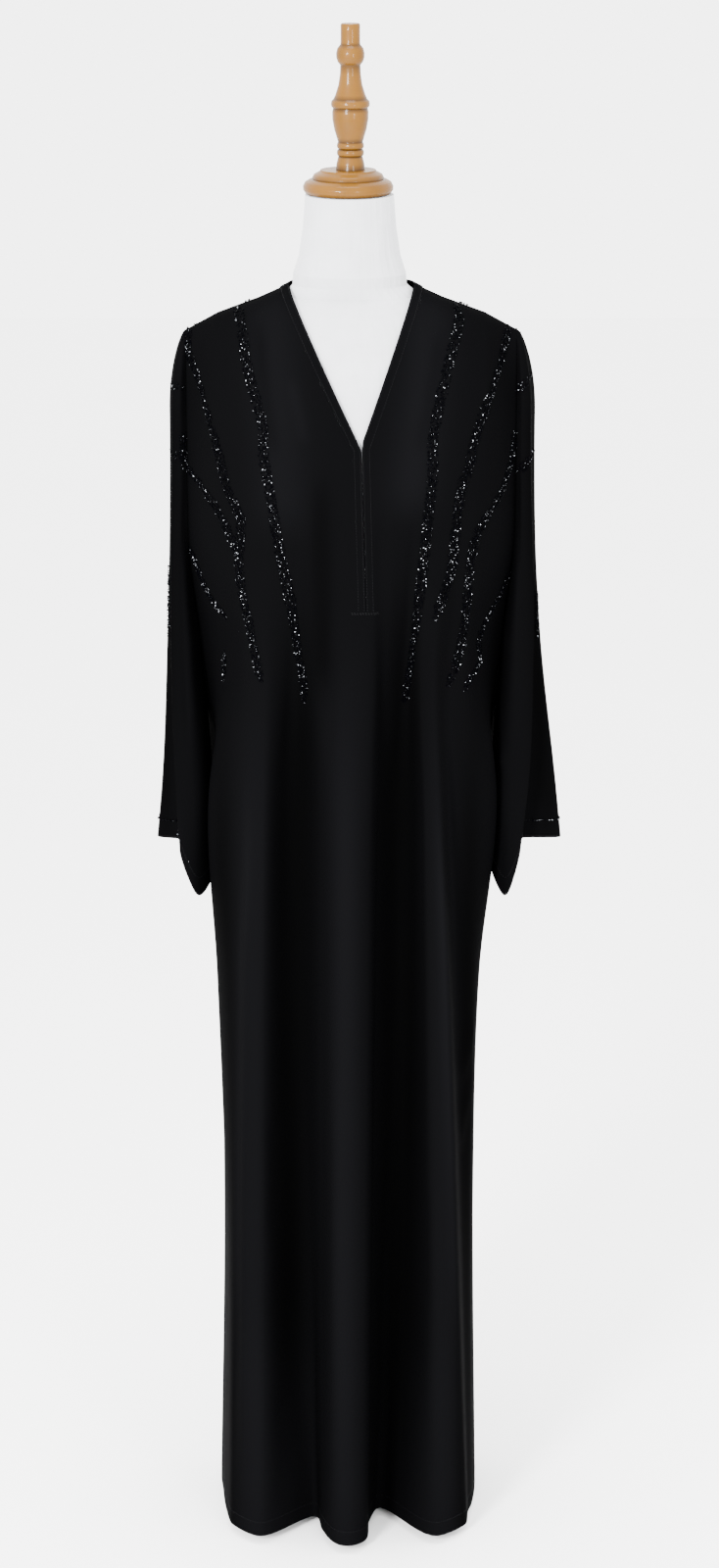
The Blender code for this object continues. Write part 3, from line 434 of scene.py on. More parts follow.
def sleeveGrid(folds, underarmLine, side, armholeFirst, armholeLast):
    # Rows of a sleeve, from the shoulder point down to the cuff seam, and the cuff's edge.
    # The armhole lists run from the shoulder down to the underarm. Above the underarm a row is
    # an arc between the two armhole edges, and below it a closed ring.
    tip = np.array((side * yoke["shoulderX"], 0.0))
    softness = [1.0] + [fold.softness for fold in folds] + [1.0]
    columns = [cloth["finer"] * count for count in [sleeve["seamColumns"]] + [fold.columns for fold in folds]]

    def foldPlace(fold, z):
        places = sleeveLevels + (fold.endZ,)
        x = along(places, [v * mm for v in fold.across], min(z, sleeve["armTopZ"]))
        y = along(places, [v * mm for v in fold.depth], min(z, sleeve["armTopZ"]))
        if z > sleeve["armTopZ"]:
            drop = yoke["shoulderLine"][-1][1] - z
            grow = sin(0.5 * pi * min(drop / sleeve["capDrop"], 1.0)) ** sleeve["capPower"]
            x = tip[0] + (x - tip[0]) * grow
            y = tip[1] + (y - tip[1]) * grow
        return x, y

    rows = [[armholeFirst[0]]]
    for first, last in zip(armholeFirst[1:-1], armholeLast[1:-1]):
        z = first[2]
        points = [first] + [np.array(foldPlace(fold, z) + (z,)) for fold in folds] + [last]
        before = 2 * points[0] - points[1]
        after = 2 * points[-1] - points[-2]
        rows.append(through(points, softness, columns, before, after))

    underarm = armholeFirst[-1]
    seamLevels = (yoke["underarmZ"], sleeveLevels[-1], underarmLine[2])
    seamAcross = [underarm[0]] + [v * mm for v in underarmLine[0]]
    seamDepth = [underarm[1]] + [v * mm for v in underarmLine[1]]

    def ring(heightOf):
        seamZ = heightOf(underarmLine[2])
        seam = np.array((along(seamLevels, seamAcross, seamZ), along(seamLevels, seamDepth, seamZ), seamZ))
        points = [seam]
        for fold in folds:
            z = heightOf(fold.endZ)
            points.append(np.array(foldPlace(fold, z) + (z,)))
        points.append(seam)
        return through(points, softness, columns, points[-2], points[1])

    for z in (yoke["underarmZ"],) + sleeveRows:
        rows.append(ring(lambda endZ: z))
    lastLevel = sleeveRows[-1]
    for r in range(1, sleeve["endRows"] + 1):
        share = r / sleeve["endRows"]
        rows.append(ring(lambda endZ: lastLevel + (endZ + cloth["cuffDepth"] - lastLevel) * share))
    edge = ring(lambda endZ: endZ)
    return rows, [between(rows[-1], edge, k / 4) for k in range(5)]


def bandFreeEdge(seam, side):
    # Free edge of a front neckband beside its seam points, given from the slit's end up.
    free = []
    slitPoints = [p for p in seam if p[2] < neck["vSeamBottomZ"] - 1e-6]
    for p in slitPoints:
        x = slitEdgeX(p[2], side)
        free.append(np.array((x, p[1], p[2])))
    rest = seam[len(slitPoints):]
    vX = neck["vBottomLeftX"] if side < 0 else neck["vBottomRightX"]
    for k, p in enumerate(rest):
        share = neckShare(len(rest) - 1 - k, len(rest) - 1)
        x = side * neck["point"][0] * (1 - share) + vX * share
        z = neck["point"][1] * (1 - share) + neck["vBottomZ"] * share
        y = chestY(x, z) if k < len(rest) - 1 else 0.0
        free.append(np.array((x, y, z)))
    return free


def backBandEdge(seam):
    # Free edge of the back neckband, drawn in and up from its seam.
    free = []
    for p in seam:
        x = p[0] * neck["point"][0] / neck["collarX"]
        y = p[1] * neck["point"][0] / neck["collarX"]
        free.append(np.array((x, y, p[2] + neck["point"][1] - yoke["shoulderLine"][0][1])))
    return free


def bandRows(start, end):
    # Rows of a neckband from one edge to the other.
    return [between(start, end, k / cloth["finer"]) for k in range(cloth["finer"] + 1)]


def gridFaces(rows):
    # Quads of a grid of points, rows going down and columns going round to the right.
    faces = []
    for upper, lower in zip(rows[:-1], rows[1:]):
        if len(upper) == 1:
            faces += [(upper[0], lower[c], lower[c + 1]) for c in range(len(lower) - 1)]
            continue
        for c in range(len(upper) - 1):
            faces.append((upper[c], lower[c], lower[c + 1], upper[c + 1]))
    return faces


# Lines of stitching by name. A share tells how far across its band each of them runs.
sewnLines = {}
bandStitching = {"cuff_top": 0.1, "cuff_edge": 0.9, "neck_seam": 0.14, "neck_edge": 0.84}


def garmentPieces():
    # Every cloth piece as faces on one draped surface; seams share their points.
    left, right, strip, slitRow = frontGrid()
    back = backGrid()
    underarmRow = yoke["rows"] + 1 + lowerRows.index(yoke["underarmZ"])
    for r in range(underarmRow, len(back)):
        back[r][-1] = left[r][0]
        back[r][0] = right[r][-1]
    pieces = {"front": gridFaces(left) + gridFaces(right) + gridFaces(strip), "back": gridFaces(back)}

    armholes = {
        "left": ([row[-1] for row in back[:underarmRow + 1]], [row[0] for row in left[:underarmRow + 1]]),
        "right": ([row[-1] for row in right[:underarmRow + 1]], [row[0] for row in back[:underarmRow + 1]]),
    }
    sleeves = (
        ("left", sleeveFoldsLeft, underarmLineLeft, -1),
        ("right", sleeveFoldsRight, underarmLineRight, 1),
    )
    for name, folds, line, side in sleeves:
        rows, cuff = sleeveGrid(folds, line, side, *armholes[name])
        pieces["sleeve_" + name] = gridFaces(rows)
        pieces["cuff_" + name] = gridFaces(cuff)
        for edge in ("top", "edge"):
            share = bandStitching["cuff_" + edge]
            sewnLines["cuff_" + name + "_" + edge] = between(cuff[0], cuff[-1], share)

    leftNeck = columnsBetween(frontFolds, "trough_left", "centre_left")
    rightNeck = columnsBetween(frontFolds, "centre_right", "trough_right")
    seams = {
        "left": [left[r][-1] for r in range(slitRow, 0, -1)] + left[0][::-1][:leftNeck + 1],
        "right": [right[r][0] for r in range(slitRow, 0, -1)] + right[0][:rightNeck + 1],
    }
    for name, side in (("left", -1), ("right", 1)):
        seam = seams[name]
        free = bandFreeEdge(seam, side)
        edges = (seam, free) if side < 0 else (free, seam)
        pieces["neckband_" + name] = gridFaces(bandRows(*edges))
        for edge in ("seam", "edge"):
            sewnLines["neck_" + name + "_" + edge] = between(seam, free, bandStitching["neck_" + edge])
    neckFirst = columnsBetween(backFolds, "seam_right", "back_trough_right")
    neckLast = columnsBetween(backFolds, "seam_right", "back_trough_left")
    seam = back[0][neckFirst:neckLast + 1]
    free = backBandEdge(seam)
    pieces["neckband_back"] = gridFaces(bandRows(free, seam))
    sewnLines["neck_back_seam"] = between(seam, free, bandStitching["neck_seam"])
    sewnLines["hem_front"] = left[-3][:-1] + strip[-3] + right[-3][1:]
    sewnLines["hem_back"] = back[-3]
    for k in range(3):
        # Three short rows just under the slit, uneven at their ends
        z = neck["slitBottomZ"] - (1.5 + 0.9 * k) * mm
        ends = ((-1.0 + 0.4 * k) * mm, (33.5 - 0.3 * k) * mm)
        sewnLines["tack_%d" % k] = [np.array((x, strip[0][0][1], z)) for x in ends]
    return pieces


def sharedPoints(pieces):
    # Number the points of all pieces, with one number for points that lie together.
    numbers = {}
    points = []
    numbered = {}
    for name, faces in pieces.items():
        numbered[name] = []
        for face in faces:
            corners = []
            for p in face:
                key = tuple(round(v * 1e6) for v in p)
                if key not in numbers:
                    numbers[key] = len(points)
                    points.append(Vector(p))
                if not corners or corners[-1] != numbers[key]:
                    corners.append(numbers[key])
            numbered[name].append(corners)
    return points, numbered


def surfaceNormals(points, numbered):
    # Outward directions at the points; each face counts by its angle at the point.
    normals = [Vector((0, 0, 0)) for item in points]
    for faces in numbered.values():
        for corners in faces:
            normal = faceNormal(points, corners).normalized()
            for k, corner in enumerate(corners):
                back = points[corners[k - 1]] - points[corner]
                ahead = points[corners[(k + 1) % len(corners)]] - points[corner]
                normals[corner] += normal * back.angle(ahead)
    return [normal.normalized() for normal in normals]


def faceNormal(points, corners):
    # Normal of a face, as long as its area.
    first = points[corners[0]]
    total = Vector((0, 0, 0))
    for a, b in zip(corners[1:-1], corners[2:]):
        total += (points[a] - first).cross(points[b] - first)
    return total


def boundaryEdges(faces):
    # Edges that only one face of a piece uses, in that face's direction.
    used = {}
    for corners in faces:
        for a, b in zip(corners, corners[1:] + corners[:1]):
            used[(a, b)] = True
    return [edge for edge in used if (edge[1], edge[0]) not in used]


def clothWall(faces, points, normals, shared):
    # Points and faces of a closed wall of cloth, drawn back by half a gap along its seams.
    edges = boundaryEdges(faces)
    ends = {}
    for a, b in edges:
        ends.setdefault(a, []).append(b)
        ends.setdefault(b, []).append(a)
    inward = {}
    for corners in faces:
        centre = sum((points[c] for c in corners), Vector((0, 0, 0))) / len(corners)
        for corner in corners:
            if corner in ends and corner in shared:
                inward[corner] = inward.get(corner, Vector((0, 0, 0))) + (centre - points[corner])
    outer = {}
    for corner in {c for corners in faces for c in corners}:
        place = points[corner].copy()
        if corner in inward:
            direction = inward[corner]
            direction -= normals[corner] * direction.dot(normals[corner])
            if len(ends[corner]) == 2:
                run = (points[ends[corner][0]] - points[ends[corner][1]]).normalized()
                direction -= run * direction.dot(run)
            place += direction.normalized() * (cloth["seamGap"] / 2)
        outer[corner] = place
    order = {corner: k for k, corner in enumerate(outer)}
    count = len(order)
    wallPoints = [outer[c] for c in order] + [outer[c] - normals[c] * cloth["thickness"] for c in order]
    wallFaces = []
    for corners in faces:
        ids = [order[c] for c in corners]
        wallFaces.append(ids)
        wallFaces.append([i + count for i in reversed(ids)])
    for a, b in edges:
        outerA, outerB = order[a], order[b]
        innerA, innerB = outerA + count, outerB + count
        if a < b:
            wallFaces += [[outerB, outerA, innerB], [outerA, innerA, innerB]]
        else:
            wallFaces += [[outerB, outerA, innerA], [outerB, innerA, innerB]]
    return wallPoints, wallFaces


# Small creases besides the folds: soft troughs (negative) and ridges, each a line of across and
# height in mm as seen from its side, with its half width and its depth in mm.
Crease = namedtuple("Crease", "name side width depth path")

creases = (
    Crease("skirtTroughLeft", "front", 25, -7.5,
           ((-58, 1130), (-60, 900), (-64, 600), (-66, 300), (-66, 14))),
    Crease("skirtTroughRight", "front", 27, -8.0, ((60, 1130), (60, 900), (62, 600), (64, 300), (66, 14))),
    Crease("skirtRidgeCentre", "front", 19, 3.0,
           ((-8, 1080), (-10, 800), (-12, 500), (-10, 200), (-8, 14))),
    Crease("ridgeEdgeLeft", "front", 5, 2.2,
           ((-113, 1010), (-118, 840), (-123, 640), (-127, 420), (-131, 170), (-134, 16))),
    Crease("besideRidgeLeft", "front", 9, -3.0,
           ((-128, 960), (-133, 760), (-137, 520), (-139, 260), (-143, 60))),
    Crease("chestTroughLeft", "front", 8, -2.4, ((-57, 1290), (-60, 1180), (-66, 1060), (-70, 930))),
    Crease("slitTroughLeft", "front", 7, -2.0, ((-22, 1270), (-20, 1180), (-24, 1080), (-27, 960))),
    Crease("slitTroughRight", "front", 8, -2.6, ((33, 1290), (33, 1190), (37, 1080), (40, 960))),
    Crease("chestTroughRight", "front", 7, -2.0, ((72, 1280), (66, 1180), (62, 1060), (58, 940))),
    Crease("waistLineRight", "front", 5, 1.6, ((108, 1065), (112, 1010), (117, 960), (124, 860))),
    Crease("diagonalUpper", "front", 6, 2.2, ((142, 655), (138, 620), (131, 590), (124, 572))),
    Crease("diagonalLower", "front", 6, 2.0, ((136, 560), (130, 524), (124, 486))),
    Crease("hipCurveRight", "front", 7, 2.4, ((158, 1010), (166, 972), (178, 942))),
    Crease("tackPucker", "front", 5, -1.2, ((4, 1143), (16, 1150), (28, 1141))),
    Crease("kneeLeft", "front", 12, -1.6, ((-92, 560), (-86, 480), (-90, 380))),
    Crease("kneeCentre", "front", 10, -1.4, ((-6, 620), (-2, 520), (-8, 400))),
    Crease("kneeRight", "front", 10, -1.5, ((86, 470), (82, 380), (90, 280))),
    Crease("hemSoftLeft", "front", 12, -1.4, ((-84, 210), (-80, 110), (-84, 20))),
    Crease("hemSoftRight", "front", 11, -1.3, ((92, 190), (96, 100), (94, 20))),
    Crease("bladeLeft", "back", 11, -2.4, ((-40, 1400), (-46, 1300), (-50, 1180), (-48, 1050))),
    Crease("bladeRight", "back", 11, -2.2, ((46, 1390), (48, 1290), (46, 1170), (50, 1040))),
    Crease("spineSoft", "back", 9, 1.8, ((4, 1380), (3, 1280), (2, 1150), (4, 1020))),
    Crease("backRidgeLeft", "back", 6, 2.0,
           ((-120, 1010), (-126, 820), (-130, 600), (-134, 380), (-140, 100))),
    Crease("backRidgeRight", "back", 6, 1.8, ((118, 990), (122, 800), (126, 560), (130, 300), (134, 60))),
    Crease("backDiagonal", "back", 7, 1.8, ((-130, 700), (-122, 650), (-110, 610))),
    Crease("backKneeLeft", "back", 12, -1.6, ((-84, 540), (-80, 430), (-86, 320))),
    Crease("backKneeRight", "back", 12, -1.5, ((84, 600), (80, 500), (86, 380))),
    Crease("backCentreSoft", "back", 11, -1.5, ((26, 640), (24, 500), (28, 330), (24, 120))),
    Crease("backHemLeft", "back", 11, -1.3, ((-26, 420), (-22, 260), (-26, 60))),
    Crease("sleeveFrontLeft", "front", 5, -1.8, ((-189, 1290), (-192, 1180), (-190, 1060), (-188, 960))),
    Crease("sleeveFrontRight", "front", 5, -1.8, ((186, 1340), (188, 1230), (194, 1120), (196, 1010))),
    Crease("sleeveOuterRight", "front", 6, 1.4, ((208, 1200), (214, 1080), (222, 980))),
    Crease("sleeveBackLeft", "back", 6, -1.8, ((-196, 1280), (-200, 1160), (-204, 1020))),
    Crease("sleeveBackRight", "back", 6, -1.8, ((196, 1290), (200, 1150), (206, 1010))),
)

# Painted shade and painted highlights on the crepe's colour: lines along which it is made lighter
# over ridges, the chest and the back's sides, and darker in folds and along the sides, where light
# and shade fall. Here depth is a share of the crepe's range of tones.
paintedShadeAndHighlights = (
    Crease("ridgeLeft", "front", 21, 0.26,
           ((-104, 1180), (-110, 1000), (-114, 800), (-116, 500), (-118, 200), (-120, -200))),
    Crease("foldLeft", "front", 24, -0.31,
           ((-52, 1230), (-58, 1080), (-62, 900), (-66, 600), (-70, 300), (-76, 30))),
    Crease("ridgeCentre", "front", 22, 0.34,
           ((-4, 1180), (-8, 1000), (-10, 800), (-12, 500), (-10, 200), (-8, -200))),
    Crease("foldRight", "front", 27, -0.32,
           ((50, 1230), (57, 1080), (54, 900), (60, 600), (56, 300), (46, -60))),
    Crease("ridgeRight", "front", 15, 0.30,
           ((98, 1200), (100, 1000), (104, 800), (108, 500), (112, 200), (116, -200))),
    Crease("hemLeft", "front", 36, 0.14, ((-96, 330), (-92, 120), (-90, -240))),
    Crease("hemRight", "front", 30, 0.12, ((94, 300), (90, 110), (90, -240))),
    Crease("sideLeft", "front", 14, -0.30, ((-146, 1080), (-148, 900), (-150, 500), (-152, -200))),
    Crease("sideRight", "front", 14, -0.28, ((138, 1080), (136, 900), (136, 500), (140, -200))),
    Crease("chestLeft", "front", 30, 0.34, ((-92, 1540), (-86, 1430), (-80, 1330), (-76, 1220))),
    Crease("chestRight", "front", 28, 0.44, ((92, 1540), (84, 1430), (72, 1340), (60, 1240))),
    Crease("edgeLeft", "front", 5, 0.22,
           ((-118, 990), (-120, 860), (-127, 740), (-130, 600), (-134, 450), (-139, 220))),
    Crease("edgeRight", "front", 5, 0.30,
           ((96, 960), (101, 860), (106, 760), (110, 640), (116, 500), (124, 220))),
    Crease("chestDrawnLeft", "front", 8, -0.17, ((-102, 1478), (-98, 1425), (-92, 1380), (-82, 1320))),
    Crease("chestSheenLeft", "front", 7, 0.14, ((-68, 1420), (-60, 1385), (-50, 1340))),
    Crease("chestDrawnRight", "front", 8, -0.15, ((98, 1470), (92, 1425), (84, 1380), (72, 1325))),
    Crease("besideSlit", "front", 13, -0.20, ((-34, 1330), (-34, 1230), (-32, 1120), (-30, 1040))),
    Crease("sleeveLeft", "front", 15, -0.26, ((-206, 1460), (-208, 1260), (-214, 1060), (-226, 780))),
    Crease("sleeveRight", "front", 15, -0.26, ((206, 1460), (210, 1260), (218, 1060), (232, 780))),
    Crease("backRidge", "back", 26, 0.34, ((2, 1560), (0, 1200), (4, 800), (2, 400), (0, -200))),
    Crease("backFoldLeft", "back", 24, -0.29, ((-62, 1340), (-64, 1000), (-60, 600), (-58, -200))),
    Crease("backFoldRight", "back", 25, -0.31, ((64, 1320), (62, 1000), (66, 600), (64, -200))),
    Crease("backSideLeft", "back", 22, 0.24, ((-112, 1200), (-114, 800), (-118, -200))),
    Crease("backSideRight", "back", 20, 0.26, ((110, 1200), (112, 800), (116, -200))),
)


creasing = {
    "turn": 1.8,  # the higher, the further round to the side of the cloak a crease still acts
    "fade": 0.22,  # share of its length over which each end dies away
}


def creaseDepths(places, normals, lines):
    # Depth of all lines at each point of the cloth, for those on the side that it faces.
    total = np.zeros(len(places))
    across = places[:, 0] / mm
    height = places[:, 2] / mm
    for line in lines:
        side = -1 if line.side == "front" else 1
        facing = np.clip(side * normals[:, 1] * creasing["turn"], 0, 1)
        path = np.array(line.path, float)
        steps = np.linalg.norm(np.diff(path, axis=0), axis=1)
        starts = np.concatenate(([0], np.cumsum(steps)))
        nearest = np.full(len(places), 1e9)
        run = np.zeros(len(places))
        for (x, z), (toX, toZ), step, start in zip(path[:-1], path[1:], steps, starts):
            alongX, alongZ = (toX - x) / step, (toZ - z) / step
            ahead = np.clip((across - x) * alongX + (height - z) * alongZ, 0, step)
            away = np.hypot(across - x - alongX * ahead, height - z - alongZ * ahead)
            closer = away < nearest
            nearest = np.where(closer, away, nearest)
            run = np.where(closer, (start + ahead) / starts[-1], run)
        fade = np.clip(np.minimum(run, 1 - run) / creasing["fade"], 0, 1)
        fade = fade * fade * (3 - 2 * fade)
        total += line.depth * np.exp(-(nearest / line.width) ** 2) * fade * facing
    return total


def addMesh(name, points, faces, material, smooth=True):
    mesh = bpy.data.meshes.new(name)
    mesh.from_pydata([tuple(p) for p in points], [], [tuple(f) for f in faces])
    mesh.update()
    if smooth:
        mesh.shade_smooth()
    mesh.materials.append(material)
    item = bpy.data.objects.new(name, mesh)
    bpy.context.scene.collection.objects.link(item)
    return item


# Materials

def linear(hexColour):
    # An sRGB hex colour as linear values.
    parts = [int(hexColour[i:i + 2], 16) / 255 for i in (1, 3, 5)]
    return tuple(p / 12.92 if p <= 0.04045 else ((p + 0.055) / 1.055) ** 2.4 for p in parts) + (1.0,)


def addNode(tree, kind, values=None, links=None, **settings):
    # One node with its settings, its fixed values and the sockets that feed it.
    node = tree.nodes.new(kind)
    for name, value in settings.items():
        setattr(node, name, value)
    for name, value in (values or {}).items():
        node.inputs[name].default_value = value
    for name, source in (links or {}).items():
        tree.links.new(source, node.inputs[name])
    return node


def newFinish(name, **fixed):
    # A material whose fixed values sit on the shader's own sockets.
    material = bpy.data.materials.new(name)
    material.use_nodes = True
    tree = material.node_tree
    shader = tree.nodes["Principled BSDF"]
    for label, value in fixed.items():
        shader.inputs[label.replace("_", " ")].default_value = value
    coords = addNode(tree, "ShaderNodeTexCoord")
    return material, tree, shader, coords.outputs["Object"]


def noise(tree, place, size, detail, **more):
    # Soft noise with spots of a given size.
    values = {"Scale": 1 / size, "Detail": detail, **more}
    return addNode(tree, "ShaderNodeTexNoise", values, {"Vector": place}).outputs["Fac"]


def marks(tree, name):
    # A value stored on the piece's own points or faces.
    return addNode(tree, "ShaderNodeAttribute", attribute_name=name).outputs["Fac"]


def blend(tree, factor, low, high):
    # A colour between two, each of them a hex colour or a socket.
    node = addNode(tree, "ShaderNodeMix", {}, {"Factor": factor}, data_type="RGBA")
    for label, colour in (("A", low), ("B", high)):
        if isinstance(colour, str):
            node.inputs[label].default_value = linear(colour)
        else:
            tree.links.new(colour, node.inputs[label])
    return node.outputs["Result"]


def relief(tree, strength, depth, height, under=None):
    # The direction of a bumpy face, laid over a coarser relief if one is given.
    links = {"Height": height}
    if under is not None:
        links["Normal"] = under
    return addNode(tree, "ShaderNodeBump", {"Strength": strength, "Distance": depth}, links).outputs["Normal"]


def stretched(tree, place, sizes):
    # Coordinates in which spots of size 1 come out with the given sizes along the axes.
    values = {"Scale": tuple(1 / size for size in sizes)}
    return addNode(tree, "ShaderNodeMapping", values, {"Vector": place}).outputs["Vector"]


def feed(tree, shader, **sources):
    for label, source in sources.items():
        tree.links.new(source, shader.inputs[label.replace("_", " ")])


crepe = {
    "low": "#010101",  # painted shade in the folds; also the grain's low spots
    "high": "#060607",  # painted highlight on the ridges; also the grain's tips
    "tone": 0.34,  # where between the two plain cloth lies
    "leastTone": 0.02,
    "grainShade": 0.16,
    "grain": 1.1 * mm,  # pebbles of twisted yarn, about 0.4 mm really, drawn coarser to show
    "grainDepth": 0.10 * mm,
    "puckers": 9 * mm,
    "puckerDepth": 0.10 * mm,
    "roughness": (0.74, 0.88),
    "gloss": 0.0025,
}


def blackCrepe():
    # Polyester crepe, woven from twisted yarn and piece-dyed black: a matte pebbled face with a
    # faint sheen. Its colour also carries painted shade in the folds and painted highlights on the ridges.
    material, tree, shader, place = newFinish("black_crepe", Specular_IOR_Level=crepe["gloss"])
    grain = noise(tree, place, crepe["grain"], 2.5, Roughness=0.6)
    pucker = noise(tree, place, crepe["puckers"], 3.0, Roughness=0.5)
    # Colour level: the grain's random tone plus the painted shade and painted highlights kept in the points'
    # tone
    mixed = {0: grain, 2: marks(tree, "tone")}
    level = addNode(tree, "ShaderNodeMath", {1: crepe["grainShade"]}, mixed, operation="MULTIPLY_ADD")
    span = dict(zip(("To Min", "To Max"), crepe["roughness"]))
    rough = addNode(tree, "ShaderNodeMapRange", span, {"Value": grain})
    soft = relief(tree, 1.0, crepe["puckerDepth"], pucker)
    feed(tree, shader, Base_Color=blend(tree, level.outputs["Value"], crepe["low"], crepe["high"]),
         Roughness=rough.outputs["Result"], Normal=relief(tree, 0.9, crepe["grainDepth"], grain, soft))
    return material


beadGlass = {
    "dark": "#010102",
    "paintedGlint": "#d4d8df",  # painted glint: the colour of a few facets, picked at random
    "scarcity": 100,  # the higher, the fewer facets get the painted glint
    "gloss": 0.008,
}


def blackGlass():
    # Pressed glass beads, jet black, with painted glints: a few facets picked at random are coloured near
    # white, most only a little lighter than black.
    gloss = beadGlass["gloss"]
    material, tree, shader, _ = newFinish("black_glass_bead", Roughness=0.22, Specular_IOR_Level=gloss)
    few = {1: beadGlass["scarcity"]}
    paintedGlintShare = addNode(tree, "ShaderNodeMath", few, {0: marks(tree, "facet")}, operation="POWER")
    feed(tree, shader, Base_Color=blend(tree, paintedGlintShare.outputs["Value"], beadGlass["dark"], beadGlass["paintedGlint"]))
    return material


def sewingThread():
    # Spun polyester thread: a tight twist with a dull shine.
    material, tree, shader, place = newFinish("black_thread", Roughness=0.6, Specular_IOR_Level=0.1)
    twist = noise(tree, place, 0.5 * mm, 1.0)
    feed(tree, shader, Base_Color=blend(tree, twist, "#030304", "#0b0b0e"))
    return material


jersey = {
    "low": "#a2a3a6",
    "high": "#b2b3b6",
    "wale": 1.6 * mm,  # knit columns, about 0.7 mm really, drawn coarser to show
    "course": 1.3 * mm,
    "depth": 0.10 * mm,
    "wrinkle": (11 * mm, 16 * mm, 60 * mm),
    "wrinkleDepth": 1.6 * mm,
}


def whiteJersey():
    # Cotton jersey stretched over the form: matte white, with fine upright knit columns.
    material, tree, shader, place = newFinish("white_jersey", Sheen_Weight=0.25, Roughness=0.88)
    waves = {}
    for axis, size, distortion in (("X", jersey["wale"], 0.6), ("Z", jersey["course"], 0.8)):
        values = {"Scale": 0.157 / size, "Distortion": distortion, "Detail": 1.0}
        wave = addNode(tree, "ShaderNodeTexWave", values, {"Vector": place}, bands_direction=axis)
        waves[len(waves)] = wave.outputs["Fac"]
    knit = addNode(tree, "ShaderNodeMath", {}, waves, operation="MULTIPLY")
    wrinkle = noise(tree, stretched(tree, place, jersey["wrinkle"]), 1.0, 1.5)
    soft = relief(tree, 1.0, jersey["wrinkleDepth"], wrinkle)
    shade = blend(tree, noise(tree, place, 30 * mm, 3.0), jersey["low"], jersey["high"])
    feed(tree, shader, Base_Color=shade,
         Normal=relief(tree, 0.7, jersey["depth"], knit.outputs["Value"], soft))
    return material


wood = {
    "light": "#5a3b0a",
    "middle": "#452b04",
    "fleck": "#55330a",
    "dark": "#1c0d01",  # the colour laid on the grooves
    "grain": (2.2 * mm, 2.2 * mm, 45 * mm),
    "coat": 0.12,
    "gloss": 0.07,
}


def varnishedWood():
    # Turned beech or rubberwood under clear gloss varnish: short fine grain, darker in the grooves.
    material, tree, shader, place = newFinish("varnished_wood", Roughness=0.42, Coat_Roughness=0.08,
                                              Coat_Weight=wood["coat"], Specular_IOR_Level=wood["gloss"])
    grain = noise(tree, stretched(tree, place, wood["grain"]), 1.0, 3.0, Roughness=0.55, Distortion=0.4)
    tone = blend(tree, noise(tree, place, 26 * mm, 2.0), wood["middle"], wood["light"])
    span = {"From Min": 0.42, "From Max": 0.72, "To Max": 0.55}
    fleck = addNode(tree, "ShaderNodeMapRange", span, {"Value": grain})
    grained = blend(tree, fleck.outputs["Result"], tone, wood["fleck"])
    feed(tree, shader, Base_Color=blend(tree, marks(tree, "groove"), grained, wood["dark"]),
         Normal=relief(tree, 0.25, 0.05 * mm, grain))
    return material


def coatedSteel():
    # Steel under black powder coat: satin, with a fine orange peel.
    material, tree, shader, place = newFinish("painted_steel", Roughness=0.46)
    feed(tree, shader, Base_Color=blend(tree, noise(tree, place, 40 * mm, 3.0), "#141415", "#222224"),
         Normal=relief(tree, 0.4, 0.06 * mm, noise(tree, place, 1.4 * mm, 1.0)))
    return material


def studioPaper():
    # Seamless white paper: matte, with a barely uneven tone.
    material, tree, shader, place = newFinish("studio_paper", Roughness=0.95)
    feed(tree, shader, Base_Color=blend(tree, noise(tree, place, 2 / 3, 1.0), "#f6f6f6", "#fbfbfb"))
    return material


finish = {
    "crepe": blackCrepe(),
    "glass": blackGlass(),
    "thread": sewingThread(),
    "jersey": whiteJersey(),
    "wood": varnishedWood(),
    "steel": coatedSteel(),
    "paper": studioPaper(),
}
print("materials: done")

# The cloth

clothPoints, clothFaces = sharedPoints(garmentPieces())
clothNormals = surfaceNormals(clothPoints, clothFaces)
places = np.array([tuple(p) for p in clothPoints])
directions = np.array([tuple(n) for n in clothNormals])
places += directions * creaseDepths(places, directions, creases)[:, None] * mm
clothPoints = [Vector(p) for p in places]
clothNormals = surfaceNormals(clothPoints, clothFaces)
underarm = Vector((0.175, yoke["underarmY"], yoke["underarmZ"]))
for k, point in enumerate(clothPoints):
    # Where body and sleeve part, the cloth's underside looks straight down
    away = Vector((abs(point.x), point.y, point.z)) - underarm
    if abs(away.x) < 4 * mm and abs(away.y) < mm and abs(away.z) < mm:
        clothNormals[k] = Vector((0, 0, -1))
users = {}
for name, faces in clothFaces.items():
    for corner in {c for corners in faces for c in corners}:
        users.setdefault(corner, set()).add(name)
sharedCorners = {corner for corner, names in users.items() if len(names) > 1}

for name, faces in clothFaces.items():
    wallPoints, wallFaces = clothWall(faces, clothPoints, clothNormals, sharedCorners)
    item = addMesh(name + "_cloth", wallPoints, wallFaces, finish["crepe"])
    item.data.set_sharp_from_angle(angle=radians(60))
    # Painted shade and painted highlights: each point's tone, lighter on ridges and darker in folds and at
    # the sides
    facing = np.zeros(len(item.data.vertices) * 3)
    item.data.vertex_normals.foreach_get("vector", facing)
    tone = crepe["tone"] + creaseDepths(np.array(wallPoints, float), facing.reshape(-1, 3), paintedShadeAndHighlights)
    attribute = item.data.attributes.new("tone", "FLOAT", "POINT")
    attribute.data.foreach_set("value", np.clip(tone, crepe["leastTone"], 1))
    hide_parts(name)
    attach(item, "root")
clothTree = BVHTree.FromPolygons(clothPoints, [corners for faces in clothFaces.values() for corners in faces])


# Repeats on the cloth: beads and stitches

def plainSocket(sockets, name):
    # The socket of this name that holds a single number.
    return [socket for socket in sockets if socket.name == name and socket.type == "VALUE"][0]


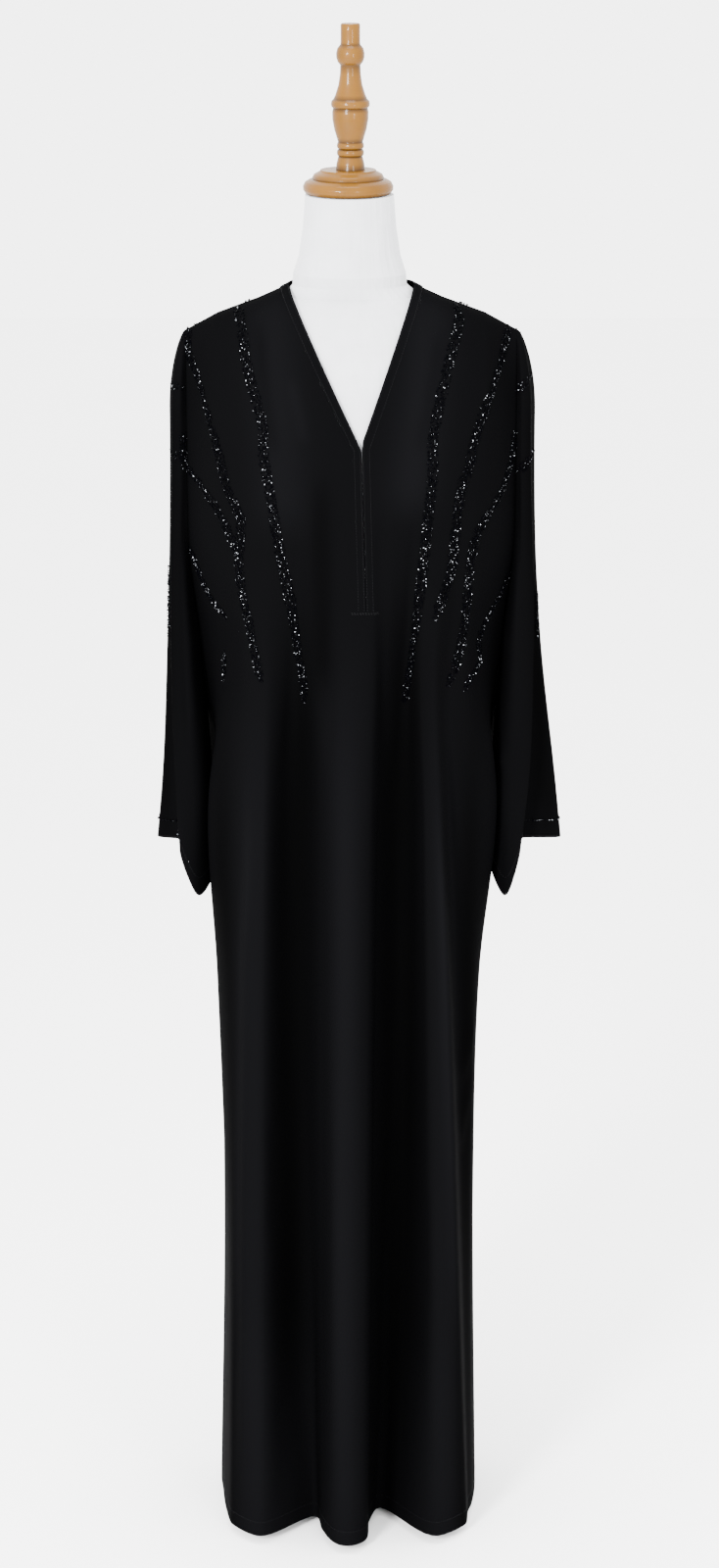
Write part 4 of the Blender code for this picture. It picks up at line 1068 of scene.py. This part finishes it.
def instanceTree(name, material, socketValues):
    # Places a small cut shape on every point, turned by the point's own direction.
    tree = bpy.data.node_groups.new(name, "GeometryNodeTree")
    tree.interface.new_socket("Geometry", in_out="INPUT", socket_type="NodeSocketGeometry")
    tree.interface.new_socket("Geometry", in_out="OUTPUT", socket_type="NodeSocketGeometry")
    for label, kind, value in socketValues:
        socket = tree.interface.new_socket(label, in_out="INPUT", socket_type=kind)
        socket.default_value = value
    source = addNode(tree, "NodeGroupInput")
    shape = addNode(tree, "GeometryNodeMeshIcoSphere", {"Radius": 0.5, "Subdivisions": 1})
    lie = addNode(tree, "GeometryNodeInputNamedAttribute", {"Name": "lie"}, data_type="FLOAT_VECTOR")
    facing = {"Vector": lie.outputs["Attribute"]}
    aligned = addNode(tree, "FunctionNodeAlignRotationToVector", {}, facing, axis="X")
    seed = {"Seed": source.outputs["Seed"]}
    roll = addNode(tree, "FunctionNodeRandomValue", {}, seed, data_type="FLOAT_VECTOR")
    for socket in roll.inputs:
        if socket.name == "Max" and socket.type == "VECTOR":
            tree.links.new(source.outputs["Roll"], socket)
    turns = {"Rotation": aligned.outputs["Rotation"], "Rotate By": roll.outputs["Value"]}
    rotated = addNode(tree, "FunctionNodeRotateRotation", {}, turns, rotation_space="LOCAL")
    spread = addNode(tree, "FunctionNodeRandomValue", {}, seed, data_type="FLOAT")
    tree.links.new(source.outputs["Smallest"], plainSocket(spread.inputs, "Min"))
    plainSocket(spread.inputs, "Max").default_value = 1.0
    scaling = {0: source.outputs["Size"], "Scale": spread.outputs["Value"]}
    size = addNode(tree, "ShaderNodeVectorMath", {}, scaling, operation="SCALE")
    placed = addNode(tree, "GeometryNodeInstanceOnPoints", {}, {
        "Points": source.outputs["Geometry"],
        "Instance": shape.outputs["Mesh"],
        "Rotation": rotated.outputs["Rotation"],
        "Scale": size.outputs["Vector"],
    })
    real = addNode(tree, "GeometryNodeRealizeInstances", {}, {"Geometry": placed.outputs["Instances"]})
    # A random value on each face; the bead glass turns it into a painted glint on a few facets
    chance = addNode(tree, "FunctionNodeRandomValue", {}, seed, data_type="FLOAT")
    stored = {"Geometry": real.outputs["Geometry"], "Value": plainSocket(chance.outputs, "Value")}
    marked = addNode(tree, "GeometryNodeStoreNamedAttribute", {"Name": "facet"}, stored,
                     data_type="FLOAT", domain="FACE")
    shown = {"Geometry": marked.outputs["Geometry"]}
    dressed = addNode(tree, "GeometryNodeSetMaterial", {"Material": material}, shown)
    result = addNode(tree, "NodeGroupOutput")
    tree.links.new(dressed.outputs["Geometry"], result.inputs["Geometry"])
    return tree


def scatter(name, points, directions, tree, inputs):
    # Points with their directions, turned into one plain mesh by the tree.
    seeds = bpy.data.meshes.new(name + "_points")
    seeds.from_pydata([tuple(p) for p in points], [], [])
    attribute = seeds.attributes.new("lie", "FLOAT_VECTOR", "POINT")
    attribute.data.foreach_set("vector", np.array([tuple(d) for d in directions], np.float32).ravel())
    carrier = bpy.data.objects.new(name + "_carrier", seeds)
    bpy.context.scene.collection.objects.link(carrier)
    modifier = carrier.modifiers.new("repeat", "NODES")
    modifier.node_group = tree
    for socket in tree.interface.items_tree:
        if socket.in_out == "INPUT" and socket.name in inputs:
            modifier[socket.identifier] = inputs[socket.name]
    bpy.context.view_layer.update()
    evaluated = carrier.evaluated_get(bpy.context.evaluated_depsgraph_get())
    mesh = bpy.data.meshes.new_from_object(evaluated)
    mesh.name = name
    item = bpy.data.objects.new(name, mesh)
    bpy.context.scene.collection.objects.link(item)
    bpy.data.objects.remove(carrier, do_unlink=True)
    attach(item, "root")
    return item


repeatSockets = (
    ("Size", "NodeSocketVector", (2.4 * mm, 2.4 * mm, 2.4 * mm)),
    ("Smallest", "NodeSocketFloat", 0.85),
    ("Roll", "NodeSocketVector", (6.28, 6.28, 6.28)),
    ("Seed", "NodeSocketInt", 7),
)
beadTree = instanceTree("sewn_beads", finish["glass"], repeatSockets)
stitchTree = instanceTree("sewn_stitches", finish["thread"], repeatSockets)

beading = {
    "size": 2.6 * mm,  # faceted bead
    "row": 2.5 * mm,  # between rows across a stripe
    "pitch": 2.5 * mm,  # along a row
    "lift": 0.9 * mm,  # bead centre above the cloth
    "jitter": 0.55 * mm,
    "leftOut": 0.10,
    "smallest": 0.55,
    "seed": 11,
}

# Stripes of beads as seen from the front, across and height in mm, with their number of rows
BeadLine = namedtuple("BeadLine", "name rows path")
beadLines = (
    BeadLine("collarLeft", 5,
             ((-128, 1485), (-122, 1462), (-116, 1427), (-108, 1398), (-98, 1364), (-96, 1322),
                               (-87, 1272), (-84, 1247), (-75, 1200), (-66, 1152), (-59, 1104), (-54, 1072),
                               (-54, 1049))),
    BeadLine("shoulderLeft", 5, ((-181, 1462), (-184, 1435), (-172, 1407), (-159, 1367), (-150, 1336),
                                 (-136, 1285), (-124, 1260), (-125, 1228), (-126, 1209), (-122, 1171),
                                 (-114, 1134), (-107, 1097), (-102, 1075))),
    BeadLine("armLeft", 5,
             ((-190, 1343), (-188, 1306), (-178, 1295), (-165, 1283), (-149, 1263), (-134, 1234),
                            (-127, 1216))),
    BeadLine("sideLeft", 5, ((-183, 1208), (-170, 1175), (-158, 1152), (-142, 1137))),
    BeadLine("waistLeft", 4, ((-144, 1093), (-146, 1059))),
    BeadLine("sleeveUpperLeft", 4, ((-202, 1396), (-190, 1391))),
    BeadLine("sleeveLowerLeft", 4, ((-206, 1320), (-188, 1312))),
    BeadLine("sleeveEdgeLeft", 3, ((-209, 1181), (-210, 1100))),
    BeadLine("collarRight", 5, ((114, 1487), (120, 1472), (114, 1449), (104, 1413), (96, 1382), (90, 1346),
                                (90, 1310), (85, 1263), (81, 1216), (78, 1184), (74, 1152), (69, 1104),
                                (65, 1074), (59, 1046))),
    BeadLine("shoulderRight", 5,
             ((175, 1459), (171, 1440), (161, 1408), (151, 1383), (139, 1352), (130, 1313),
                                  (122, 1291), (116, 1245), (112, 1204), (103, 1173), (94, 1146))),
    BeadLine("armRight", 5, ((184, 1343), (180, 1313), (169, 1281), (149, 1253), (137, 1227), (131, 1179),
                             (129, 1146), (124, 1111), (116, 1083), (109, 1064))),
    BeadLine("sideRight", 5, ((179, 1179), (171, 1157), (155, 1132), (145, 1109), (146, 1083), (136, 1068),
                              (128, 1056))),
    BeadLine("sleeveUpperRight", 4, ((203, 1406), (197, 1400), (185, 1388))),
    BeadLine("sleeveLowerRight", 4, ((208, 1320), (197, 1306), (186, 1297))),
    BeadLine("sleeveEdgeRight", 3, ((212, 1154), (213, 1100))),
)


def smoothPath(path, step):
    # Evenly spaced places on the smooth line through the given ones.
    path = np.array(path, float) * mm
    ends = np.vstack([2 * path[0] - path[1], path, 2 * path[-1] - path[-2]])
    dense = []
    for k in range(1, len(ends) - 2):
        for i in range(12):
            t = i / 12
            a, b, c, d = ends[k - 1:k + 3]
            bend = (2 * a - 5 * b + 4 * c - d) * t ** 2 + (3 * b - a - 3 * c + d) * t ** 3
            dense.append(0.5 * (2 * b + (c - a) * t + bend))
    dense.append(path[-1])
    dense = np.array(dense)
    runs = np.concatenate(([0], np.cumsum(np.linalg.norm(np.diff(dense, axis=0), axis=1))))
    count = max(int(runs[-1] / step), 1)
    wanted = np.linspace(0, runs[-1], count + 1)
    return np.column_stack([np.interp(wanted, runs, dense[:, 0]), np.interp(wanted, runs, dense[:, 1])])


def onCloth(x, z, side):
    # The place on the cloth straight in from the front (-1) or the back (1), and its direction.
    hit, normal, _, _ = clothTree.ray_cast(Vector((x, side * 0.6, z)), Vector((0, -side, 0)))
    if hit is None:
        return None, None
    if normal.y * side < 0:
        normal = -normal
    return hit, normal


def beadStripe(line, side, mirror, luck):
    # Beads of one stripe in staggered rows, with fewer rows at its ends.
    points = []
    directions = []
    path = [(mirror * x, z) for x, z in line.path]
    spine = smoothPath(path, beading["pitch"])
    for k, (x, z) in enumerate(spine):
        place, normal = onCloth(x, z, side)
        if place is None:
            continue
        nearby = spine[min(k + 1, len(spine) - 1)] - spine[max(k - 1, 0)]
        run = Vector((nearby[0], 0, nearby[1]))
        run = (run - normal * run.dot(normal)).normalized()
        across = normal.cross(run)
        rows = line.rows
        if k < 2 or k > len(spine) - 4:
            rows = max(line.rows - 2, 2)
        for r in range(rows):
            if luck.random() < beading["leftOut"]:
                continue
            offset = (r - (rows - 1) / 2) * beading["row"]
            slip = (0.5 if r % 2 else 0.0) * beading["pitch"]
            sideways = offset + luck.gauss(0, 1) * beading["jitter"]
            guess = place + across * sideways + run * (slip + luck.gauss(0, 1) * beading["jitter"])
            found, facing, _, _ = clothTree.find_nearest(guess)
            if found is None:
                continue
            if facing.dot(normal) < 0:
                facing = -facing
            points.append(found + facing * beading["lift"])
            directions.append(facing)
    return points, directions


def beadRow(line, side, outer, luck):
    # Single beads along a sewn line, on one side and further out than a distance from the axis.
    points = []
    directions = []
    for place, run in evenSteps(line, beading["pitch"]):
        if abs(place.x) <= outer or place.y * side <= 0:
            continue
        guess = place + Vector([luck.gauss(0, 0.4) * mm for axis in range(3)])
        found, facing, _, _ = clothTree.find_nearest(guess)
        points.append(found + facing * beading["lift"])
        directions.append(facing)
    return points, directions


def evenSteps(line, step):
    # Evenly spaced places on a line, with its direction at each.
    line = [Vector(p) for p in line]
    result = []
    ahead = 0.5 * step
    for a, b in zip(line[:-1], line[1:]):
        length = (b - a).length
        while ahead < length:
            result.append((a.lerp(b, ahead / length), (b - a).normalized()))
            ahead += step
        ahead -= length
    return result


stitching = {
    "size": (2.3 * mm, 0.42 * mm, 0.34 * mm),
    "step": 3.1 * mm,
    "lift": 0.12 * mm,
    "seed": 5,
}


def stitchLine(line):
    points = []
    directions = []
    for place, run in evenSteps(line, stitching["step"]):
        found, facing, _, _ = clothTree.find_nearest(place)
        points.append(found + facing * stitching["lift"])
        directions.append((run - facing * run.dot(facing)).normalized())
    return points, directions


def together(rows):
    # The points and the directions of several rows as one pair of lists.
    points = []
    directions = []
    for morePoints, moreDirections in rows:
        points += morePoints
        directions += moreDirections
    return points, directions


for group in ("neck", "cuff", "hem", "tack"):
    rows = [stitchLine(line) for name, line in sewnLines.items() if name.startswith(group)]
    points, directions = together(rows)
    inputs = {"Size": stitching["size"], "Smallest": 0.9, "Roll": (0.4, 0.0, 0.05), "Seed": stitching["seed"]}
    scatter("stitches_" + group, points, directions, stitchTree, inputs)
    print("stitches:", group, len(points))

# The cuffs' beads start this far out from the axis
cuffBeads = {"cuff_left_top": 0.197, "cuff_right_top": 0.204}

luck = random.Random(beading["seed"])
for sideName, side, mirror in (("front", -1, 1), ("back", 1, -1)):
    rows = [beadStripe(line, side, mirror, luck) for line in beadLines]
    rows += [beadRow(sewnLines[name], side, outer, luck) for name, outer in cuffBeads.items()]
    points, directions = together(rows)
    inputs = {"Size": (beading["size"],) * 3, "Smallest": beading["smallest"], "Seed": beading["seed"]}
    scatter("beading_" + sideName, points, directions, beadTree, inputs)
    print("beading:", sideName, len(points), "beads")

# The dress form: a jersey-covered body with turned wood above it

# Radius and height of each turning in mm, and how far its colour goes towards the grooves' dark
capTurnings = (
    (43.0, 1605.4, 0.7), (47.5, 1606.6, 0.5), (50.2, 1610.5, 0), (50.4, 1614.5, 0), (48.2, 1618.9, 0),
    (43.5, 1621.6, 0), (39.8, 1622.6, 0.6), (39.9, 1624.2, 0.3), (38.2, 1627.4, 0), (34.2, 1629.6, 0),
    (31.6, 1630.9, 0), (31.0, 1632.4, 0),
)
finialTurnings = (
    (16.2, 1632.7, 0.8), (15.6, 1639.0, 0), (14.0, 1645.4, 0), (13.4, 1647.2, 0.9), (14.9, 1649.2, 0),
    (15.1, 1651.3, 0), (14.9, 1653.4, 0), (13.4, 1655.2, 0.9), (14.9, 1657.2, 0), (15.1, 1659.2, 0),
    (14.7, 1661.4, 0), (13.8, 1663.0, 0.8), (15.4, 1668.5, 0), (18.0, 1677.0, 0), (20.0, 1688.0, 0),
    (20.2, 1696.0, 0), (19.3, 1700.3, 0.8), (21.2, 1702.2, 0), (21.6, 1705.0, 0), (21.0, 1708.0, 0),
    (18.8, 1710.2, 0.7), (16.6, 1715.0, 0), (13.2, 1726.0, 0), (11.6, 1737.0, 0), (11.2, 1747.2, 0.6),
    (14.0, 1750.6, 0), (15.6, 1755.4, 0), (15.7, 1760.4, 0), (14.4, 1765.6, 0), (11.2, 1769.4, 0.6),
    (10.8, 1772.0, 0), (10.8, 1791.0, 0), (9.8, 1792.4, 0),
)


def turned(name, node, turnings, axisX):
    # A turned piece with a groove value at each point, replacing its plain node.
    sides = 72
    points = []
    grooves = []
    rings = []
    for a, b in zip(turnings[:-1], turnings[1:]):
        for t in (0, 0.34, 0.67):
            rings.append([a[k] + (b[k] - a[k]) * t for k in range(3)])
    rings.append(turnings[-1])
    for radius, height, groove in rings:
        for k in range(sides):
            turn = 2 * pi * k / sides
            points.append((axisX + radius * mm * cos(turn), radius * mm * sin(turn), height * mm))
            grooves.append(groove)
    faces = []
    for r in range(len(rings) - 1):
        for k in range(sides):
            beside = (k + 1) % sides
            faces.append((r * sides + k, r * sides + beside, (r + 1) * sides + beside, (r + 1) * sides + k))
    faces.append(tuple(range(sides))[::-1])
    faces.append(tuple(range((len(rings) - 1) * sides, len(rings) * sides)))
    item = addMesh(name, points, faces, finish["wood"])
    attribute = item.data.attributes.new("groove", "FLOAT", "POINT")
    attribute.data.foreach_set("value", grooves)
    item.data.set_sharp_from_angle(angle=radians(50))
    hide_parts(node)
    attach(item, "root")


turned("cap_turned", "neck_cap", capTurnings, -3.5 * mm)
turned("finial_turned", "finial", finialTurnings, -1.0 * mm)

for name, material in (("form_body", finish["jersey"]), ("pole", finish["steel"]), ("foot", finish["steel"])):
    item = bpy.data.objects[name]
    item.data.materials.clear()
    item.data.materials.append(material)
    print("form:", name)

# Studio

reach = 9  # the floor's half side in metres
corners = [(-reach, -reach, 0), (reach, -reach, 0), (reach, reach, 0), (-reach, reach, 0)]
floor = addMesh("floor", corners, [(0, 1, 2, 3)], finish["paper"], False)


def areaLight(name, place, aim, size, power):
    data = bpy.data.lights.new(name, "AREA")
    data.shape = "RECTANGLE"
    data.size, data.size_y = size
    data.energy = power
    lamp = bpy.data.objects.new(name, data)
    lamp.location = place
    lamp.rotation_euler = (Vector(aim) - Vector(place)).to_track_quat("-Z", "Y").to_euler()
    bpy.context.scene.collection.objects.link(lamp)


# Soft boxes round a bright white room
areaLight("key", (-1.7, -3.6, 2.3), (0, 0, 0.9), (0.8, 1.2), 600)
areaLight("fill", (1.6, -3.6, 1.6), (0, 0, 0.9), (0.6, 1.1), 110)
areaLight("top", (0, -0.5, 3.4), (0, 0, 1.2), (1.2, 0.8), 60)

world = bpy.data.worlds.new("studio_air")
bpy.context.scene.world = world
world.use_nodes = True
air = world.node_tree.nodes["Background"]
air.inputs["Color"].default_value = (1, 1, 1, 1)
air.inputs["Strength"].default_value = 5.2

cameraData = bpy.data.cameras.new("camera")
cameraData.sensor_fit = "HORIZONTAL"
cameraData.sensor_width = 36
cameraData.lens = 188.04
camera = bpy.data.objects.new("camera", cameraData)
camera.location = (0.0091, -4.2, 2.151)
camera.rotation_euler = (radians(90 - 16.326), 0, 0)
bpy.context.scene.collection.objects.link(camera)
bpy.context.scene.camera = camera
